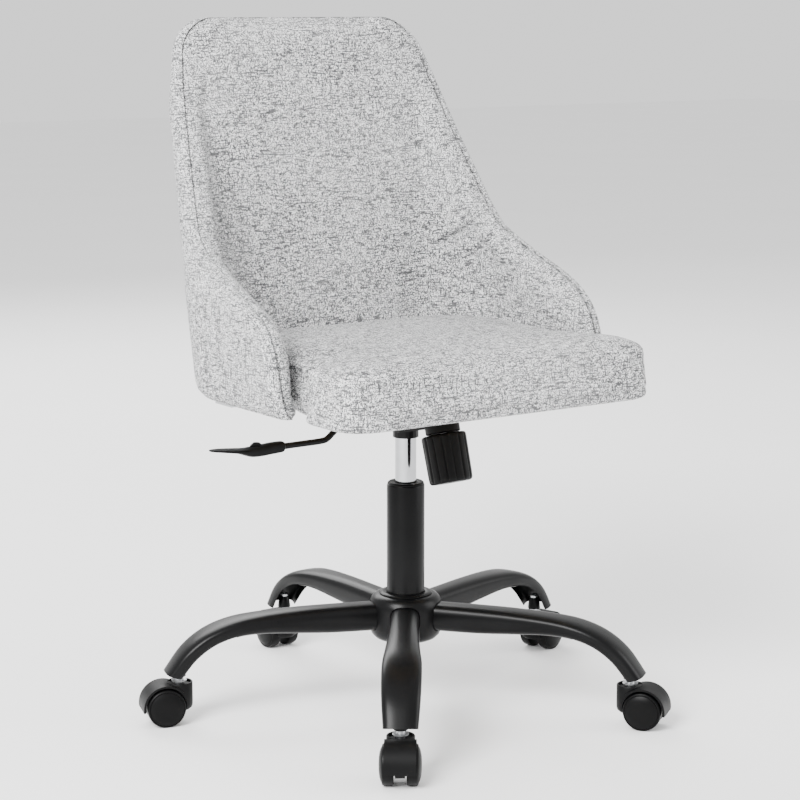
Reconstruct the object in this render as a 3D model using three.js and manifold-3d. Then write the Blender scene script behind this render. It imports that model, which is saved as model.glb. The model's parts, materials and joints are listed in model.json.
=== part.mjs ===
// Upholstered swivel desk chair on a five-leg steel base with twin-wheel casters.
// Millimetres, +Z up. The origin is on the floor under the column; the chair faces -Y.
import * as THREE from "three";
import { mergeVertices } from "three/addons/utils/BufferGeometryUtils.js";
import Module from "manifold-3d";

// ---- driving dimensions ----
const GAP = 0.3; // clearance between separate pieces
const SIDES = 20; // facets of a large round piece
const SMALL_SIDES = 10; // facets of a pin, a bore or another small round piece

// casters
const WHEEL_RADIUS = 25;
const WHEEL_SIDES = 20;
const WHEEL_INNER_X = 8;
const WEB_HALF_WIDTH = 6;
const WHEEL_OUTER_X = 22;
const WHEEL_DOME_X = 26;
const AXLE_RADIUS = 4;
const HOOD_RADIUS = 30;
const HOOD_THICKNESS = 2.5;
const HOOD_HALF_WIDTH = 19.5;
const BOSS_RADIUS = 17.5;
const BOSS_TOP = 55;
const BOSS_BOTTOM = 19;
const STEM_RADIUS = 5.5;
const STEM_TOP = 83;
const CASTER_TRAIL = 20; // from the swivel axis out to the axle

// base
const LEG_COUNT = 5;
const STEM_CIRCLE = 307; // radius of the circle that the caster stems stand on
const LEG_WALL = 2;
const SLEEVE_RADIUS = 9; // welded into the leg's open end, round the caster stem
const SLEEVE_BOTTOM = 62;
const SLEEVE_TOP = 78;
const LEG_START = 30;
const HUB_RADIUS = 49;
const HUB_BOTTOM = 90;
const HUB_TOP = 150;
const HUB_RING_RADIUS = 35;
const HUB_RING_TOP = 153;

// column
const TUBE_RADIUS = 25;
const TUBE_WALL = 2.5;
const TUBE_BOTTOM = 88;
const TUBE_TOP = 298;
const CYLINDER_RADIUS = 14;
const CYLINDER_BOTTOM = 172;
const CYLINDER_TOP = 392;
const ROD_RADIUS = 5;
const BUTTON_RADIUS = 4;
const BUTTON_TOP = 397;

// tilt mechanism
const SOCKET_RADIUS = 17;
const SOCKET_BOTTOM = 361;
const HOUSING_HALF_WIDTH = 42;
const HOUSING_WALL = 2.5;
const PIVOT_Y = -45;
const PIVOT_Z = 402;
const PIVOT_RADIUS = 5;
const KNOB_TILT = THREE.MathUtils.degToRad(17);
const KNOB_Y = -78.6; // where the knob's axis meets the housing's sloped floor
const KNOB_Z = 395.7;
const KNOB_RADIUS = 29;
const KNOB_START = 19; // distances down the knob's axis
const KNOB_END = 82;
const CAM_X = -26; // pivot of the height lever
const CAM_Z = 401;
const LEVER_ROD_RADIUS = 4;

// seat and back
const PLATE_BOTTOM = 417.5;
const PLATE_TOP = 420.5;
const BOARD_TOP = 433;
const SEAT_BOTTOM = 429;
const SEAT_TOP = 506;
const SEAT_FRONT = -235;
const SEAT_HALF_WIDTH = 243; // ahead of the wings
const SEAT_INNER_HALF_WIDTH = 215; // between the wings
const SHELL_BOTTOM = 425;
const SHELL_TOP = 902;
const SHELL_THICKNESS = 12;
const BACK_THICKNESS = 45; // shell and pad together
const BACK_HALF_WIDTH = 262;
const BACK_COLUMNS = 18;

// ---- solids ----
const wasm = await Module();
wasm.setup();

function toSolid(geometry) {
  const bare = geometry.index ? geometry.toNonIndexed() : geometry.clone();
  bare.deleteAttribute("normal");
  bare.deleteAttribute("uv");
  const merged = mergeVertices(bare, 1e-4);
  const corners = merged.index.array;
  const kept = [];
  for (let i = 0; i < corners.length; i += 3) {
    const [a, b, c] = [corners[i], corners[i + 1], corners[i + 2]];
    if (a !== b && b !== c && c !== a) kept.push(a, b, c);
  }
  return new wasm.Manifold(
    new wasm.Mesh({
      numProp: 3,
      vertProperties: merged.attributes.position.array,
      triVerts: new Uint32Array(kept),
    }),
  );
}

function toGeometry(solid) {
  const mesh = solid.getMesh();
  const geometry = new THREE.BufferGeometry();
  geometry.setAttribute("position", new THREE.BufferAttribute(mesh.vertProperties, 3));
  geometry.setIndex(new THREE.BufferAttribute(mesh.triVerts, 1));
  const flat = geometry.toNonIndexed();
  flat.computeVertexNormals();
  return flat;
}

// The body, with the added geometries joined on and the cut ones taken away.
function combine(body, added, cut = []) {
  let solid = toSolid(body);
  for (const piece of added) solid = solid.add(toSolid(piece));
  for (const piece of cut) solid = solid.subtract(toSolid(piece));
  return toGeometry(solid);
}

// A solid of revolution about Z from [radius, height] points: up the outside, down any bore.
function turned(profile, sides = SIDES) {
  const points = profile.map(([radius, height]) => new THREE.Vector2(radius, height));
  return new THREE.LatheGeometry(points, sides).rotateX(Math.PI / 2);
}

function disc(radius, bottom, top, sides = SIDES) {
  return turned([[0, bottom], [radius, bottom], [radius, top], [0, top]], sides);
}

function ring(outer, inner, bottom, top, sides = SIDES) {
  return turned([[outer, bottom], [outer, top], [inner, top], [inner, bottom], [outer, bottom]], sides);
}

// A bar along X between two places, round in section.
function crossBar(radius, x0, x1, y, z, sides = SMALL_SIDES) {
  return disc(radius, x0, x1, sides).rotateY(Math.PI / 2).translate(0, y, z);
}

function box([x0, y0, z0], [x1, y1, z1]) {
  const geometry = new THREE.BoxGeometry(x1 - x0, y1 - y0, z1 - z0);
  return geometry.translate((x0 + x1) / 2, (y0 + y1) / 2, (z0 + z1) / 2);
}

function outline(points) {
  return new THREE.Shape(points.map(([a, b]) => new THREE.Vector2(a, b)));
}

// A side profile of [y, z] points, extruded from x0 to x1.
function profileAcross(points, x0, x1) {
  const geometry = new THREE.ExtrudeGeometry(outline(points), { depth: x1 - x0, bevelEnabled: false });
  return geometry.rotateX(Math.PI / 2).rotateZ(Math.PI / 2).translate(x0, 0, 0);
}

// A front profile of [x, z] points, extruded from y0 to y1.
function profileAlong(points, y0, y1) {
  const geometry = new THREE.ExtrudeGeometry(outline(points), { depth: y1 - y0, bevelEnabled: false });
  return geometry.rotateX(Math.PI / 2).translate(0, y1, 0);
}

// A closed solid through rings of equally many points, with flat ends.
function loft(rings) {
  const count = rings[0].length;
  const positions = [];
  const quad = (a, b, c, d) => positions.push(...a, ...b, ...c, ...a, ...c, ...d);
  for (let row = 1; row < rings.length; row += 1) {
    for (let i = 0; i < count; i += 1) {
      const next = (i + 1) % count;
      quad(rings[row - 1][i], rings[row - 1][next], rings[row][next], rings[row][i]);
    }
  }
  const middle = (loop) => [0, 1, 2].map((axis) => loop.reduce((sum, p) => sum + p[axis], 0) / count);
  const first = rings[0];
  const last = rings[rings.length - 1];
  for (let i = 0; i < count; i += 1) {
    const next = (i + 1) % count;
    positions.push(...middle(first), ...first[next], ...first[i]);
    positions.push(...middle(last), ...last[i], ...last[next]);
  }
  const geometry = new THREE.BufferGeometry();
  geometry.setAttribute("position", new THREE.Float32BufferAttribute(positions, 3));
  return geometry;
}

// ---- materials ----
const blackSteel = { color: 0x1d1e20, roughness: 0.45, metalness: 0.6 };
const blackPlastic = { color: 0x161718, roughness: 0.5, metalness: 0 };
const chrome = { color: 0xd8dadd, roughness: 0.12, metalness: 1 };
const brightSteel = { color: 0xa3a6aa, roughness: 0.35, metalness: 1 };
const whitePlastic = { color: 0xd9d9d4, roughness: 0.5, metalness: 0 };
const plywood = { color: 0xb98d5a, roughness: 0.7, metalness: 0 };
const greyFabric = { color: 0xc9cacb, roughness: 0.95, metalness: 0 };

const chair = new THREE.Group();

function piece(name, geometry, finish, group = chair) {
  const mesh = new THREE.Mesh(geometry, new THREE.MeshStandardMaterial(finish));
  mesh.name = name;
  group.add(mesh);
  return mesh;
}

// ---- base legs ----
// Stations along a leg: distance out, height, half width, half height and slope of the section.
const LEG_STATIONS = [
  [LEG_START, 122, 19, 18.5, 0],
  [100, 123, 19.5, 18, 0],
  [150, 124.5, 20.5, 16, 0],
  [200, 125, 22.5, 13, 6],
  [236, 121.5, 24.8, 11.5, 16],
  [267, 111, 25, 11, 30],
  [293, 92.4, 24, 11, 47],
  [315, 65, 21.5, 11, 72],
];
const CHANNEL_STATION = 4; // from this station outwards the leg is an open channel
const LEG_CORNERS = 10;

function legSection([out, height, halfWidth, halfHeight, slope], inset) {
  const lean = THREE.MathUtils.degToRad(slope);
  const points = [];
  for (let i = 0; i < LEG_CORNERS; i += 1) {
    const angle = ((i + 0.5) / LEG_CORNERS) * Math.PI * 2;
    // a rounded rectangle as a superellipse
    const across = Math.sign(Math.cos(angle)) * Math.abs(Math.cos(angle)) ** 0.62 * (halfWidth - inset);
    const upward = Math.sign(Math.sin(angle)) * Math.abs(Math.sin(angle)) ** 0.62 * (halfHeight - inset);
    points.push([out + upward * Math.sin(lean), across, height + upward * Math.cos(lean)]);
  }
  return points;
}

// A cut that takes the underside off a leg between its two side walls.
function channelSection([out, height, halfWidth, halfHeight, slope]) {
  const lean = THREE.MathUtils.degToRad(slope);
  const across = halfWidth - LEG_WALL - 1;
  const depth = -halfHeight - 4;
  const corners = [
    [across, 0],
    [-across, 0],
    [-across, depth],
    [across, depth],
  ];
  return corners.map(([x, up]) => [out + up * Math.sin(lean), x, height + up * Math.cos(lean)]);
}

function legGeometry() {
  const outer = loft(LEG_STATIONS.map((station) => legSection(station, 0)));
  const hollow = LEG_STATIONS.map((station) => legSection(station, LEG_WALL));
  const first = LEG_STATIONS[0];
  const last = LEG_STATIONS[LEG_STATIONS.length - 1];
  hollow[0] = legSection([first[0] - 5, ...first.slice(1)], LEG_WALL);
  const beyond = [last[0] + 4, last[1] - 12, ...last.slice(2)];
  hollow.push(legSection(beyond, LEG_WALL));
  const channel = [...LEG_STATIONS.slice(CHANNEL_STATION), beyond].map(channelSection);
  const shell = toSolid(outer).subtract(toSolid(loft(hollow))).subtract(toSolid(loft(channel)));
  // the sleeve that takes the caster stem is a cone, joined to the outer wall by a web
  const sleeve = turned(
    [
      [0, SLEEVE_BOTTOM],
      [SLEEVE_RADIUS, SLEEVE_BOTTOM],
      [SLEEVE_RADIUS - 1.8, SLEEVE_TOP],
      [0, SLEEVE_TOP],
    ],
    SMALL_SIDES,
  ).translate(STEM_CIRCLE, 0, 0);
  const web = box([STEM_CIRCLE, -3, SLEEVE_BOTTOM + 3], [STEM_CIRCLE + 20, 3, SLEEVE_TOP + 2]);
  const join = toSolid(web).intersect(toSolid(outer));
  const bore = disc(STEM_RADIUS + GAP, 30, STEM_TOP, SMALL_SIDES).translate(STEM_CIRCLE, 0, 0);
  return toGeometry(shell.add(toSolid(sleeve)).add(join).subtract(toSolid(bore)));
}

const legAngle = (index) => Math.PI / 2 + (index * 2 * Math.PI) / LEG_COUNT;

for (let i = 0; i < LEG_COUNT; i += 1) {
  const leg = piece(`base_leg_${i + 1}`, legGeometry(), blackSteel);
  leg.rotation.z = legAngle(i);
}

// ---- hub ----
function hubGeometry() {
  const body = turned([
    [TUBE_RADIUS + GAP, HUB_BOTTOM],
    [38, HUB_BOTTOM],
    [45, HUB_BOTTOM + 6],
    [HUB_RADIUS, HUB_BOTTOM + 18],
    [HUB_RADIUS, HUB_TOP - 16],
    [46, HUB_TOP - 6],
    [38, HUB_TOP],
    [TUBE_RADIUS + GAP, HUB_TOP],
    [TUBE_RADIUS + GAP, HUB_BOTTOM],
  ]);
  const saddles = [];
  for (let i = 0; i < LEG_COUNT; i += 1) {
    const start = legSection([LEG_START - 0.8, ...LEG_STATIONS[0].slice(1)], -GAP);
    const end = legSection(LEG_STATIONS[1], -GAP);
    saddles.push(loft([start, end]).rotateZ(legAngle(i)));
  }
  return combine(body, [], saddles);
}

piece("base_hub", hubGeometry(), blackSteel);
piece(
  "hub_ring",
  turned([
    [TUBE_RADIUS + GAP, HUB_TOP + GAP],
    [HUB_RING_RADIUS, HUB_TOP + GAP],
    [HUB_RING_RADIUS - 1, HUB_RING_TOP - 1],
    [HUB_RING_RADIUS - 5, HUB_RING_TOP],
    [TUBE_RADIUS + GAP, HUB_RING_TOP],
    [TUBE_RADIUS + GAP, HUB_TOP + GAP],
  ]),
  blackSteel,
);

// ---- casters ----
// Modelled with the swivel axis on Z and the wheels trailing towards +X, then turned to each leg.
function wheelGeometry(side) {
  const radius = WHEEL_RADIUS / Math.cos(Math.PI / WHEEL_SIDES);
  const wheel = turned(
    [
      [AXLE_RADIUS + GAP, WHEEL_INNER_X],
      [radius, WHEEL_INNER_X],
      [radius, WHEEL_OUTER_X],
      [15, WHEEL_DOME_X],
      [0, WHEEL_DOME_X],
      [0, WHEEL_OUTER_X],
      [AXLE_RADIUS + GAP, WHEEL_OUTER_X],
      [AXLE_RADIUS + GAP, WHEEL_INNER_X],
    ],
    WHEEL_SIDES,
  );
  // half a facet of turn puts a flat facet on the floor
  wheel.rotateZ(Math.PI / WHEEL_SIDES);
  wheel.rotateX(side > 0 ? -Math.PI / 2 : Math.PI / 2);
  return wheel.translate(CASTER_TRAIL, 0, WHEEL_RADIUS);
}

function hoodGeometry() {
  const fender = new THREE.Shape();
  const start = THREE.MathUtils.degToRad(-8);
  const end = THREE.MathUtils.degToRad(140);
  fender.absarc(0, 0, HOOD_RADIUS, start, end, false);
  fender.absarc(0, 0, HOOD_RADIUS - HOOD_THICKNESS, end, start, true);
  const cover = new THREE.ExtrudeGeometry(fender, {
    depth: 2 * HOOD_HALF_WIDTH,
    bevelEnabled: false,
    curveSegments: 7,
  });
  cover.rotateX(Math.PI / 2).translate(CASTER_TRAIL, HOOD_HALF_WIDTH, WHEEL_RADIUS);
  const web = disc(WHEEL_RADIUS - 1.5, -WEB_HALF_WIDTH, WEB_HALF_WIDTH, SMALL_SIDES);
  web.rotateX(Math.PI / 2).translate(CASTER_TRAIL, 0, WHEEL_RADIUS + 3.5);
  const boss = disc(BOSS_RADIUS, BOSS_BOTTOM, BOSS_TOP, SMALL_SIDES);
  const wheelRoom = disc(WHEEL_RADIUS + 1.6, -40, 40, 20);
  wheelRoom.rotateX(Math.PI / 2).translate(CASTER_TRAIL, 0, WHEEL_RADIUS);
  const bossSolid = toSolid(boss);
  const webSolid = toSolid(web).add(bossSolid.intersect(toSolid(box([-40, -5, 0], [40, 5, 70]))));
  const outerBoss = bossSolid.subtract(toSolid(wheelRoom));
  const stemRoom = disc(STEM_RADIUS + GAP, BOSS_BOTTOM + 6, BOSS_TOP + 5, SMALL_SIDES);
  const axleHole = disc(AXLE_RADIUS + GAP, -30, 30, SMALL_SIDES);
  axleHole.rotateX(Math.PI / 2).translate(CASTER_TRAIL, 0, WHEEL_RADIUS);
  const hood = toSolid(cover).add(webSolid).add(outerBoss);
  return toGeometry(hood.subtract(toSolid(stemRoom)).subtract(toSolid(axleHole)));
}

function stemGeometry() {
  return turned(
    [
      [0, BOSS_BOTTOM + 6 + GAP],
      [STEM_RADIUS, BOSS_BOTTOM + 6 + GAP],
      [STEM_RADIUS, BOSS_TOP + 0.6],
      [10, BOSS_TOP + 0.6],
      [10, BOSS_TOP + 2.6],
      [STEM_RADIUS, BOSS_TOP + 2.6],
      [STEM_RADIUS, STEM_TOP - 2],
      [STEM_RADIUS - 1.5, STEM_TOP],
      [0, STEM_TOP],
    ],
    SMALL_SIDES,
  );
}

for (let i = 0; i < LEG_COUNT; i += 1) {
  const caster = new THREE.Group();
  caster.position.set(STEM_CIRCLE * Math.cos(legAngle(i)), STEM_CIRCLE * Math.sin(legAngle(i)), 0);
  caster.rotation.z = legAngle(i);
  chair.add(caster);
  const number = i + 1;
  const axle = disc(AXLE_RADIUS, -WHEEL_OUTER_X + 1, WHEEL_OUTER_X - 1, SMALL_SIDES);
  axle.rotateX(Math.PI / 2).translate(CASTER_TRAIL, 0, WHEEL_RADIUS);
  piece(`caster_stem_${number}`, stemGeometry(), brightSteel, caster);
  piece(`caster_hood_${number}`, hoodGeometry(), blackPlastic, caster);
  piece(`caster_axle_${number}`, axle, brightSteel, caster);
  piece(`caster_wheel_left_${number}`, wheelGeometry(1), blackPlastic, caster);
  piece(`caster_wheel_right_${number}`, wheelGeometry(-1), blackPlastic, caster);
}

// ---- column ----
piece(
  "column_tube",
  turned([
    [10, TUBE_BOTTOM],
    [TUBE_RADIUS, TUBE_BOTTOM],
    [TUBE_RADIUS, TUBE_TOP],
    [TUBE_RADIUS - TUBE_WALL, TUBE_TOP],
    [TUBE_RADIUS - TUBE_WALL, TUBE_BOTTOM + 4],
    [10, TUBE_BOTTOM + 4],
    [10, TUBE_BOTTOM],
  ]),
  blackSteel,
);
piece(
  "column_bush",
  turned([
    [CYLINDER_RADIUS + GAP, 226],
    [TUBE_RADIUS - TUBE_WALL - GAP, 226],
    [TUBE_RADIUS - TUBE_WALL - GAP, TUBE_TOP + GAP],
    [TUBE_RADIUS - 1, TUBE_TOP + GAP],
    [TUBE_RADIUS - 2, TUBE_TOP + 3],
    [CYLINDER_RADIUS + GAP, TUBE_TOP + 3],
    [CYLINDER_RADIUS + GAP, 226],
  ]),
  blackPlastic,
);
piece("thrust_bearing", ring(16, ROD_RADIUS + GAP, TUBE_BOTTOM + 4 + GAP, TUBE_BOTTOM + 9), brightSteel);
piece(
  "piston_rod",
  turned([
    [0, TUBE_BOTTOM - 6],
    [ROD_RADIUS, TUBE_BOTTOM - 6],
    [ROD_RADIUS, TUBE_BOTTOM + 9 + GAP],
    [9, TUBE_BOTTOM + 9 + GAP],
    [9, TUBE_BOTTOM + 13],
    [ROD_RADIUS, TUBE_BOTTOM + 13],
    [ROD_RADIUS, 286],
    [CYLINDER_RADIUS - 1.8, 286],
    [CYLINDER_RADIUS - 1.8, 300],
    [0, 300],
  ]),
  brightSteel,
);
piece("retaining_clip", ring(12, ROD_RADIUS + GAP, TUBE_BOTTOM - 3.3, TUBE_BOTTOM - GAP), brightSteel);
piece(
  "lift_cylinder",
  turned([
    [ROD_RADIUS + GAP, CYLINDER_BOTTOM],
    [CYLINDER_RADIUS, CYLINDER_BOTTOM],
    [CYLINDER_RADIUS, CYLINDER_TOP - 30],
    [CYLINDER_RADIUS - 0.8, CYLINDER_TOP],
    [BUTTON_RADIUS + GAP, CYLINDER_TOP],
    [BUTTON_RADIUS + GAP, CYLINDER_TOP - 6],
    [CYLINDER_RADIUS - 1.5, CYLINDER_TOP - 6],
    [CYLINDER_RADIUS - 1.5, CYLINDER_BOTTOM + 6],
    [ROD_RADIUS + GAP, CYLINDER_BOTTOM + 6],
    [ROD_RADIUS + GAP, CYLINDER_BOTTOM],
  ]),
  chrome,
);
piece("release_button", disc(BUTTON_RADIUS, CYLINDER_TOP - 12, BUTTON_TOP, SMALL_SIDES), brightSteel);

// ---- tilt mechanism ----
// Geometry modelled down the knob's axis: local -Z runs down the axis from the housing floor.
function alongKnob(geometry) {
  return geometry.rotateX(-KNOB_TILT).translate(0, KNOB_Y, KNOB_Z);
}

const HOUSING_PROFILE = [
  [-116, 407.2],
  [-50, 387],
  [-44, 377],
  [62, 377],
  [62, 387],
  [-28, 411],
  [-60, 411],
  [-116, 411],
];

function housingGeometry() {
  const body = profileAcross(HOUSING_PROFILE, -HOUSING_HALF_WIDTH, HOUSING_HALF_WIDTH);
  const inner = HOUSING_HALF_WIDTH - HOUSING_WALL;
  const room = profileAcross(
    [
      [-113, 409.2],
      [-49, 389.6],
      [-42, 379.5],
      [59.5, 379.5],
      [59.5, 420],
      [-113, 420],
    ],
    -inner,
    inner,
  );
  const socket = disc(SOCKET_RADIUS, SOCKET_BOTTOM, 390);
  const bore = disc(CYLINDER_RADIUS + GAP, SOCKET_BOTTOM - 5, 400);
  const boltHole = alongKnob(disc(5.5, -10, 12, SMALL_SIDES));
  const pinHole = crossBar(PIVOT_RADIUS + GAP, -60, 60, PIVOT_Y, PIVOT_Z);
  const leverSlot = box([-50, -7, CAM_Z - 8], [-36, 7, CAM_Z + 12]);
  return toGeometry(
    toSolid(body)
      .subtract(toSolid(room))
      .add(toSolid(socket))
      .subtract(toSolid(bore))
      .subtract(toSolid(boltHole))
      .subtract(toSolid(pinHole))
      .subtract(toSolid(leverSlot)),
  );
}

piece("mechanism_housing", housingGeometry(), blackSteel);
piece("tilt_pivot_pin", crossBar(PIVOT_RADIUS, -53, 53, PIVOT_Y, PIVOT_Z), brightSteel);

// tension knob, its collar, bolt, spring and spring cup
const CUP_START = 60; // distance down the axis to the cup's face at rest
const SPRING_RADIUS = 15;
const SPRING_WIRE = 2;
const SPRING_TURNS = 5;

class Helix extends THREE.Curve {
  constructor(radius, turns, top, bottom) {
    super();
    Object.assign(this, { radius, turns, top, bottom });
  }

  getPoint(t, target = new THREE.Vector3()) {
    const angle = t * this.turns * 2 * Math.PI;
    const height = THREE.MathUtils.lerp(this.top, this.bottom, t);
    return target.set(this.radius * Math.cos(angle), this.radius * Math.sin(angle), height);
  }
}

function springGeometry() {
  const section = new THREE.Shape().absarc(0, 0, SPRING_WIRE, 0, 2 * Math.PI, false);
  const path = new Helix(SPRING_RADIUS, SPRING_TURNS, -KNOB_START - 3, -CUP_START + 3);
  return new THREE.ExtrudeGeometry(section, {
    steps: SPRING_TURNS * 8,
    extrudePath: path,
    curveSegments: 3,
    bevelEnabled: false,
  });
}

function knobGeometry() {
  const grip = new THREE.Shape();
  const ribs = 14;
  for (let i = 0; i < ribs * 2; i += 1) {
    const angle = (i / (ribs * 2)) * 2 * Math.PI;
    const radius = i % 2 ? KNOB_RADIUS - 1.6 : KNOB_RADIUS;
    const corner = [radius * Math.cos(angle), radius * Math.sin(angle)];
    if (i === 0) grip.moveTo(...corner);
    else grip.lineTo(...corner);
  }
  const body = new THREE.ExtrudeGeometry(grip, { depth: KNOB_END - KNOB_START, bevelEnabled: false });
  body.translate(0, 0, -KNOB_END);
  const room = disc(24, -KNOB_END + 6, 0);
  const boltHole = disc(4.5 + GAP, -KNOB_END - 5, 0, SMALL_SIDES);
  return combine(body, [], [room, boltHole]);
}

piece("tension_collar", alongKnob(ring(22.5, 5.5, -KNOB_START + 1, -GAP)), blackPlastic);
piece(
  "tension_bolt",
  alongKnob(combine(disc(4.5, -KNOB_END + 1, 6, SMALL_SIDES), [disc(8.5, 3.2, 8, 6)])),
  brightSteel,
);
piece("tension_spring", alongKnob(springGeometry()), brightSteel);
piece("tension_cup", alongKnob(ring(21, 4.5 + GAP, -CUP_START - 6, -CUP_START)), brightSteel);
piece("tension_knob", alongKnob(knobGeometry()), blackPlastic);

// height lever: the cam turns in the housing, and the lever rod slides in the cam
function camGeometry() {
  const sleeve = crossBar(6, -38, -17, 0, CAM_Z, SMALL_SIDES);
  const arm = profileAlong(
    [
      [-20, CAM_Z - 1.2],
      [0, BUTTON_TOP + GAP + 2.5],
      [3, BUTTON_TOP + GAP + 4],
      [0, BUTTON_TOP + GAP + 6],
      [-20, CAM_Z + 4],
    ],
    -4,
    4,
  );
  const nose = disc(3, -4, 4, SMALL_SIDES).rotateX(Math.PI / 2).translate(0, 0, BUTTON_TOP + GAP + 3);
  const trunnion = disc(3, -12, 12, SMALL_SIDES).rotateX(Math.PI / 2).translate(CAM_X, 0, CAM_Z);
  const bore = crossBar(LEVER_ROD_RADIUS + GAP, -45, -22, 0, CAM_Z, SMALL_SIDES);
  return combine(sleeve, [arm, nose, trunnion], [bore]);
}

function leverRodGeometry() {
  const section = new THREE.Shape().absarc(0, 0, LEVER_ROD_RADIUS, 0, 2 * Math.PI, false);
  const route = [
    [-34.5, CAM_Z],
    [-48, CAM_Z],
    [-62, 399],
    [-84, 394.5],
    [-100, 388],
    [-113, 379],
    [-122, 372],
    [-131, 369.6],
    [-160, 369.2],
    [-206, 369],
  ];
  const path = new THREE.CatmullRomCurve3(route.map(([x, z]) => new THREE.Vector3(x, 0, z)));
  return new THREE.ExtrudeGeometry(section, {
    steps: 16,
    extrudePath: path,
    curveSegments: 4,
    bevelEnabled: false,
  });
}

function leverHandleGeometry() {
  const paddle = profileAlong(
    [
      [-295, 373.5],
      [-294, 376.5],
      [-262, 378],
      [-240, 376.5],
      [-230, 379],
      [-224, 376],
      [-190, 376.5],
      [-190, 361.5],
      [-225, 360],
      [-250, 361],
      [-264, 368],
    ],
    -13,
    13,
  );
  // seen from above the handle narrows towards the rod
  const plan = outline([
    [-298, -5],
    [-290, -12],
    [-250, -13],
    [-205, -7],
    [-188, -6],
    [-188, 6],
    [-205, 7],
    [-250, 13],
    [-290, 12],
    [-298, 5],
  ]);
  const limit = new THREE.ExtrudeGeometry(plan, { depth: 40, bevelEnabled: false }).translate(0, 0, 350);
  const handle = toSolid(paddle).intersect(toSolid(limit));
  const bore = toSolid(crossBar(LEVER_ROD_RADIUS + 0.9, -209, -180, 0, 369.2, SMALL_SIDES));
  return toGeometry(handle.subtract(bore));
}

piece("release_cam", camGeometry(), blackSteel);
piece("lever_rod", leverRodGeometry(), blackSteel);
piece("lever_handle", leverHandleGeometry(), blackPlastic);

// ---- seat ----
const BOLT_X = 72;
const BOLT_YS = [-100, 80];
const BOLT_RADIUS = 3;

function seatPlateGeometry() {
  const plate = box([-88, -122, PLATE_BOTTOM], [88, 104, PLATE_TOP]);
  const ears = [];
  const cuts = [crossBar(PIVOT_RADIUS + GAP, -60, 60, PIVOT_Y, PIVOT_Z)];
  for (const side of [-1, 1]) {
    const inner = side * (HOUSING_HALF_WIDTH + 2);
    const outer = side * (HOUSING_HALF_WIDTH + 4.5);
    const ear = [
      [PIVOT_Y - 22, PLATE_BOTTOM + 1],
      [PIVOT_Y - 11, PIVOT_Z - 10],
      [PIVOT_Y + 11, PIVOT_Z - 10],
      [PIVOT_Y + 30, PLATE_BOTTOM + 1],
    ];
    ears.push(profileAcross(ear, Math.min(inner, outer), Math.max(inner, outer)));
    for (const y of BOLT_YS) {
      const hole = disc(BOLT_RADIUS + GAP, PLATE_BOTTOM - 5, PLATE_TOP + 5, SMALL_SIDES);
      cuts.push(hole.translate(side * BOLT_X, y, 0));
    }
  }
  return combine(plate, ears, cuts);
}

// Plan outline of the seat board, grown by a margin for the pocket that it sits in.
function boardBlank(bottom, top, margin) {
  const plan = [
    [186, -188],
    [186, 20],
    [110, 122],
    [-110, 122],
    [-186, 20],
    [-186, -188],
  ];
  const grown = plan.map(([x, y]) => [x + Math.sign(x) * margin, y + Math.sign(y) * margin]);
  const blank = new THREE.ExtrudeGeometry(outline(grown), { depth: top - bottom, bevelEnabled: false });
  return blank.translate(0, 0, bottom);
}

function boardGeometry() {
  const board = boardBlank(PLATE_TOP + GAP, BOARD_TOP, 0);
  const holes = [];
  for (const x of [-BOLT_X, BOLT_X]) {
    for (const y of BOLT_YS) {
      holes.push(disc(BOLT_RADIUS + GAP, PLATE_TOP - 5, BOARD_TOP - 2, SMALL_SIDES).translate(x, y, 0));
    }
  }
  return combine(board, [], holes);
}

piece("seat_plate", seatPlateGeometry(), blackSteel);
piece("seat_board", boardGeometry(), plywood);
let boltNumber = 0;
for (const x of [-BOLT_X, BOLT_X]) {
  for (const y of BOLT_YS) {
    boltNumber += 1;
    const shank = disc(BOLT_RADIUS, PLATE_BOTTOM - 1.5, BOARD_TOP - 3, 12);
    const head = disc(6.5, PLATE_BOTTOM - 5, PLATE_BOTTOM - GAP, 6);
    piece(`seat_bolt_${boltNumber}`, combine(shank, [head]).translate(x, y, 0), brightSteel);
  }
}

// ---- back outline ----
const REAR_BASE = 208; // rear of the shell at REAR_BASE_Z
const REAR_BASE_Z = 508;
const REAR_SLOPE = 0.2016; // how far the back leans per unit of height
const TAPER_START_Z = 560;
const TAPER = 0.1966; // loss of half width per unit of height above TAPER_START_Z
const TOP_CORNER = 45;

// Front edge of the sides, as [y, z] up from the bottom: nose, scoop, and the slope to the top.
const RIM = [
  [-107, 425],
  [-95, 463],
  [-82, 505],
  [-61, 534],
  [-24, 557],
  [43, 585],
  [97, 611],
  [124, 634],
  [162, 699],
  [202, 773],
  [240, 852],
  [262, 902],
];

function rimFront(z) {
  let i = 1;
  while (i < RIM.length - 1 && RIM[i][1] < z) i += 1;
  const [y0, z0] = RIM[i - 1];
  const [y1, z1] = RIM[i];
  return THREE.MathUtils.lerp(y0, y1, (z - z0) / (z1 - z0));
}

function backHalfWidth(z) {
  const straight = BACK_HALF_WIDTH - TAPER * Math.max(0, z - TAPER_START_Z);
  const rise = Math.max(0, z - (SHELL_TOP - TOP_CORNER));
  return straight - TOP_CORNER + Math.sqrt(Math.max(0, TOP_CORNER ** 2 - rise ** 2));
}

const rearOf = (z) => REAR_BASE + REAR_SLOPE * (z - REAR_BASE_Z);
const cornerOf = (z) => THREE.MathUtils.clamp(128 - 0.42 * (z - 590), 46, 138);

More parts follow.
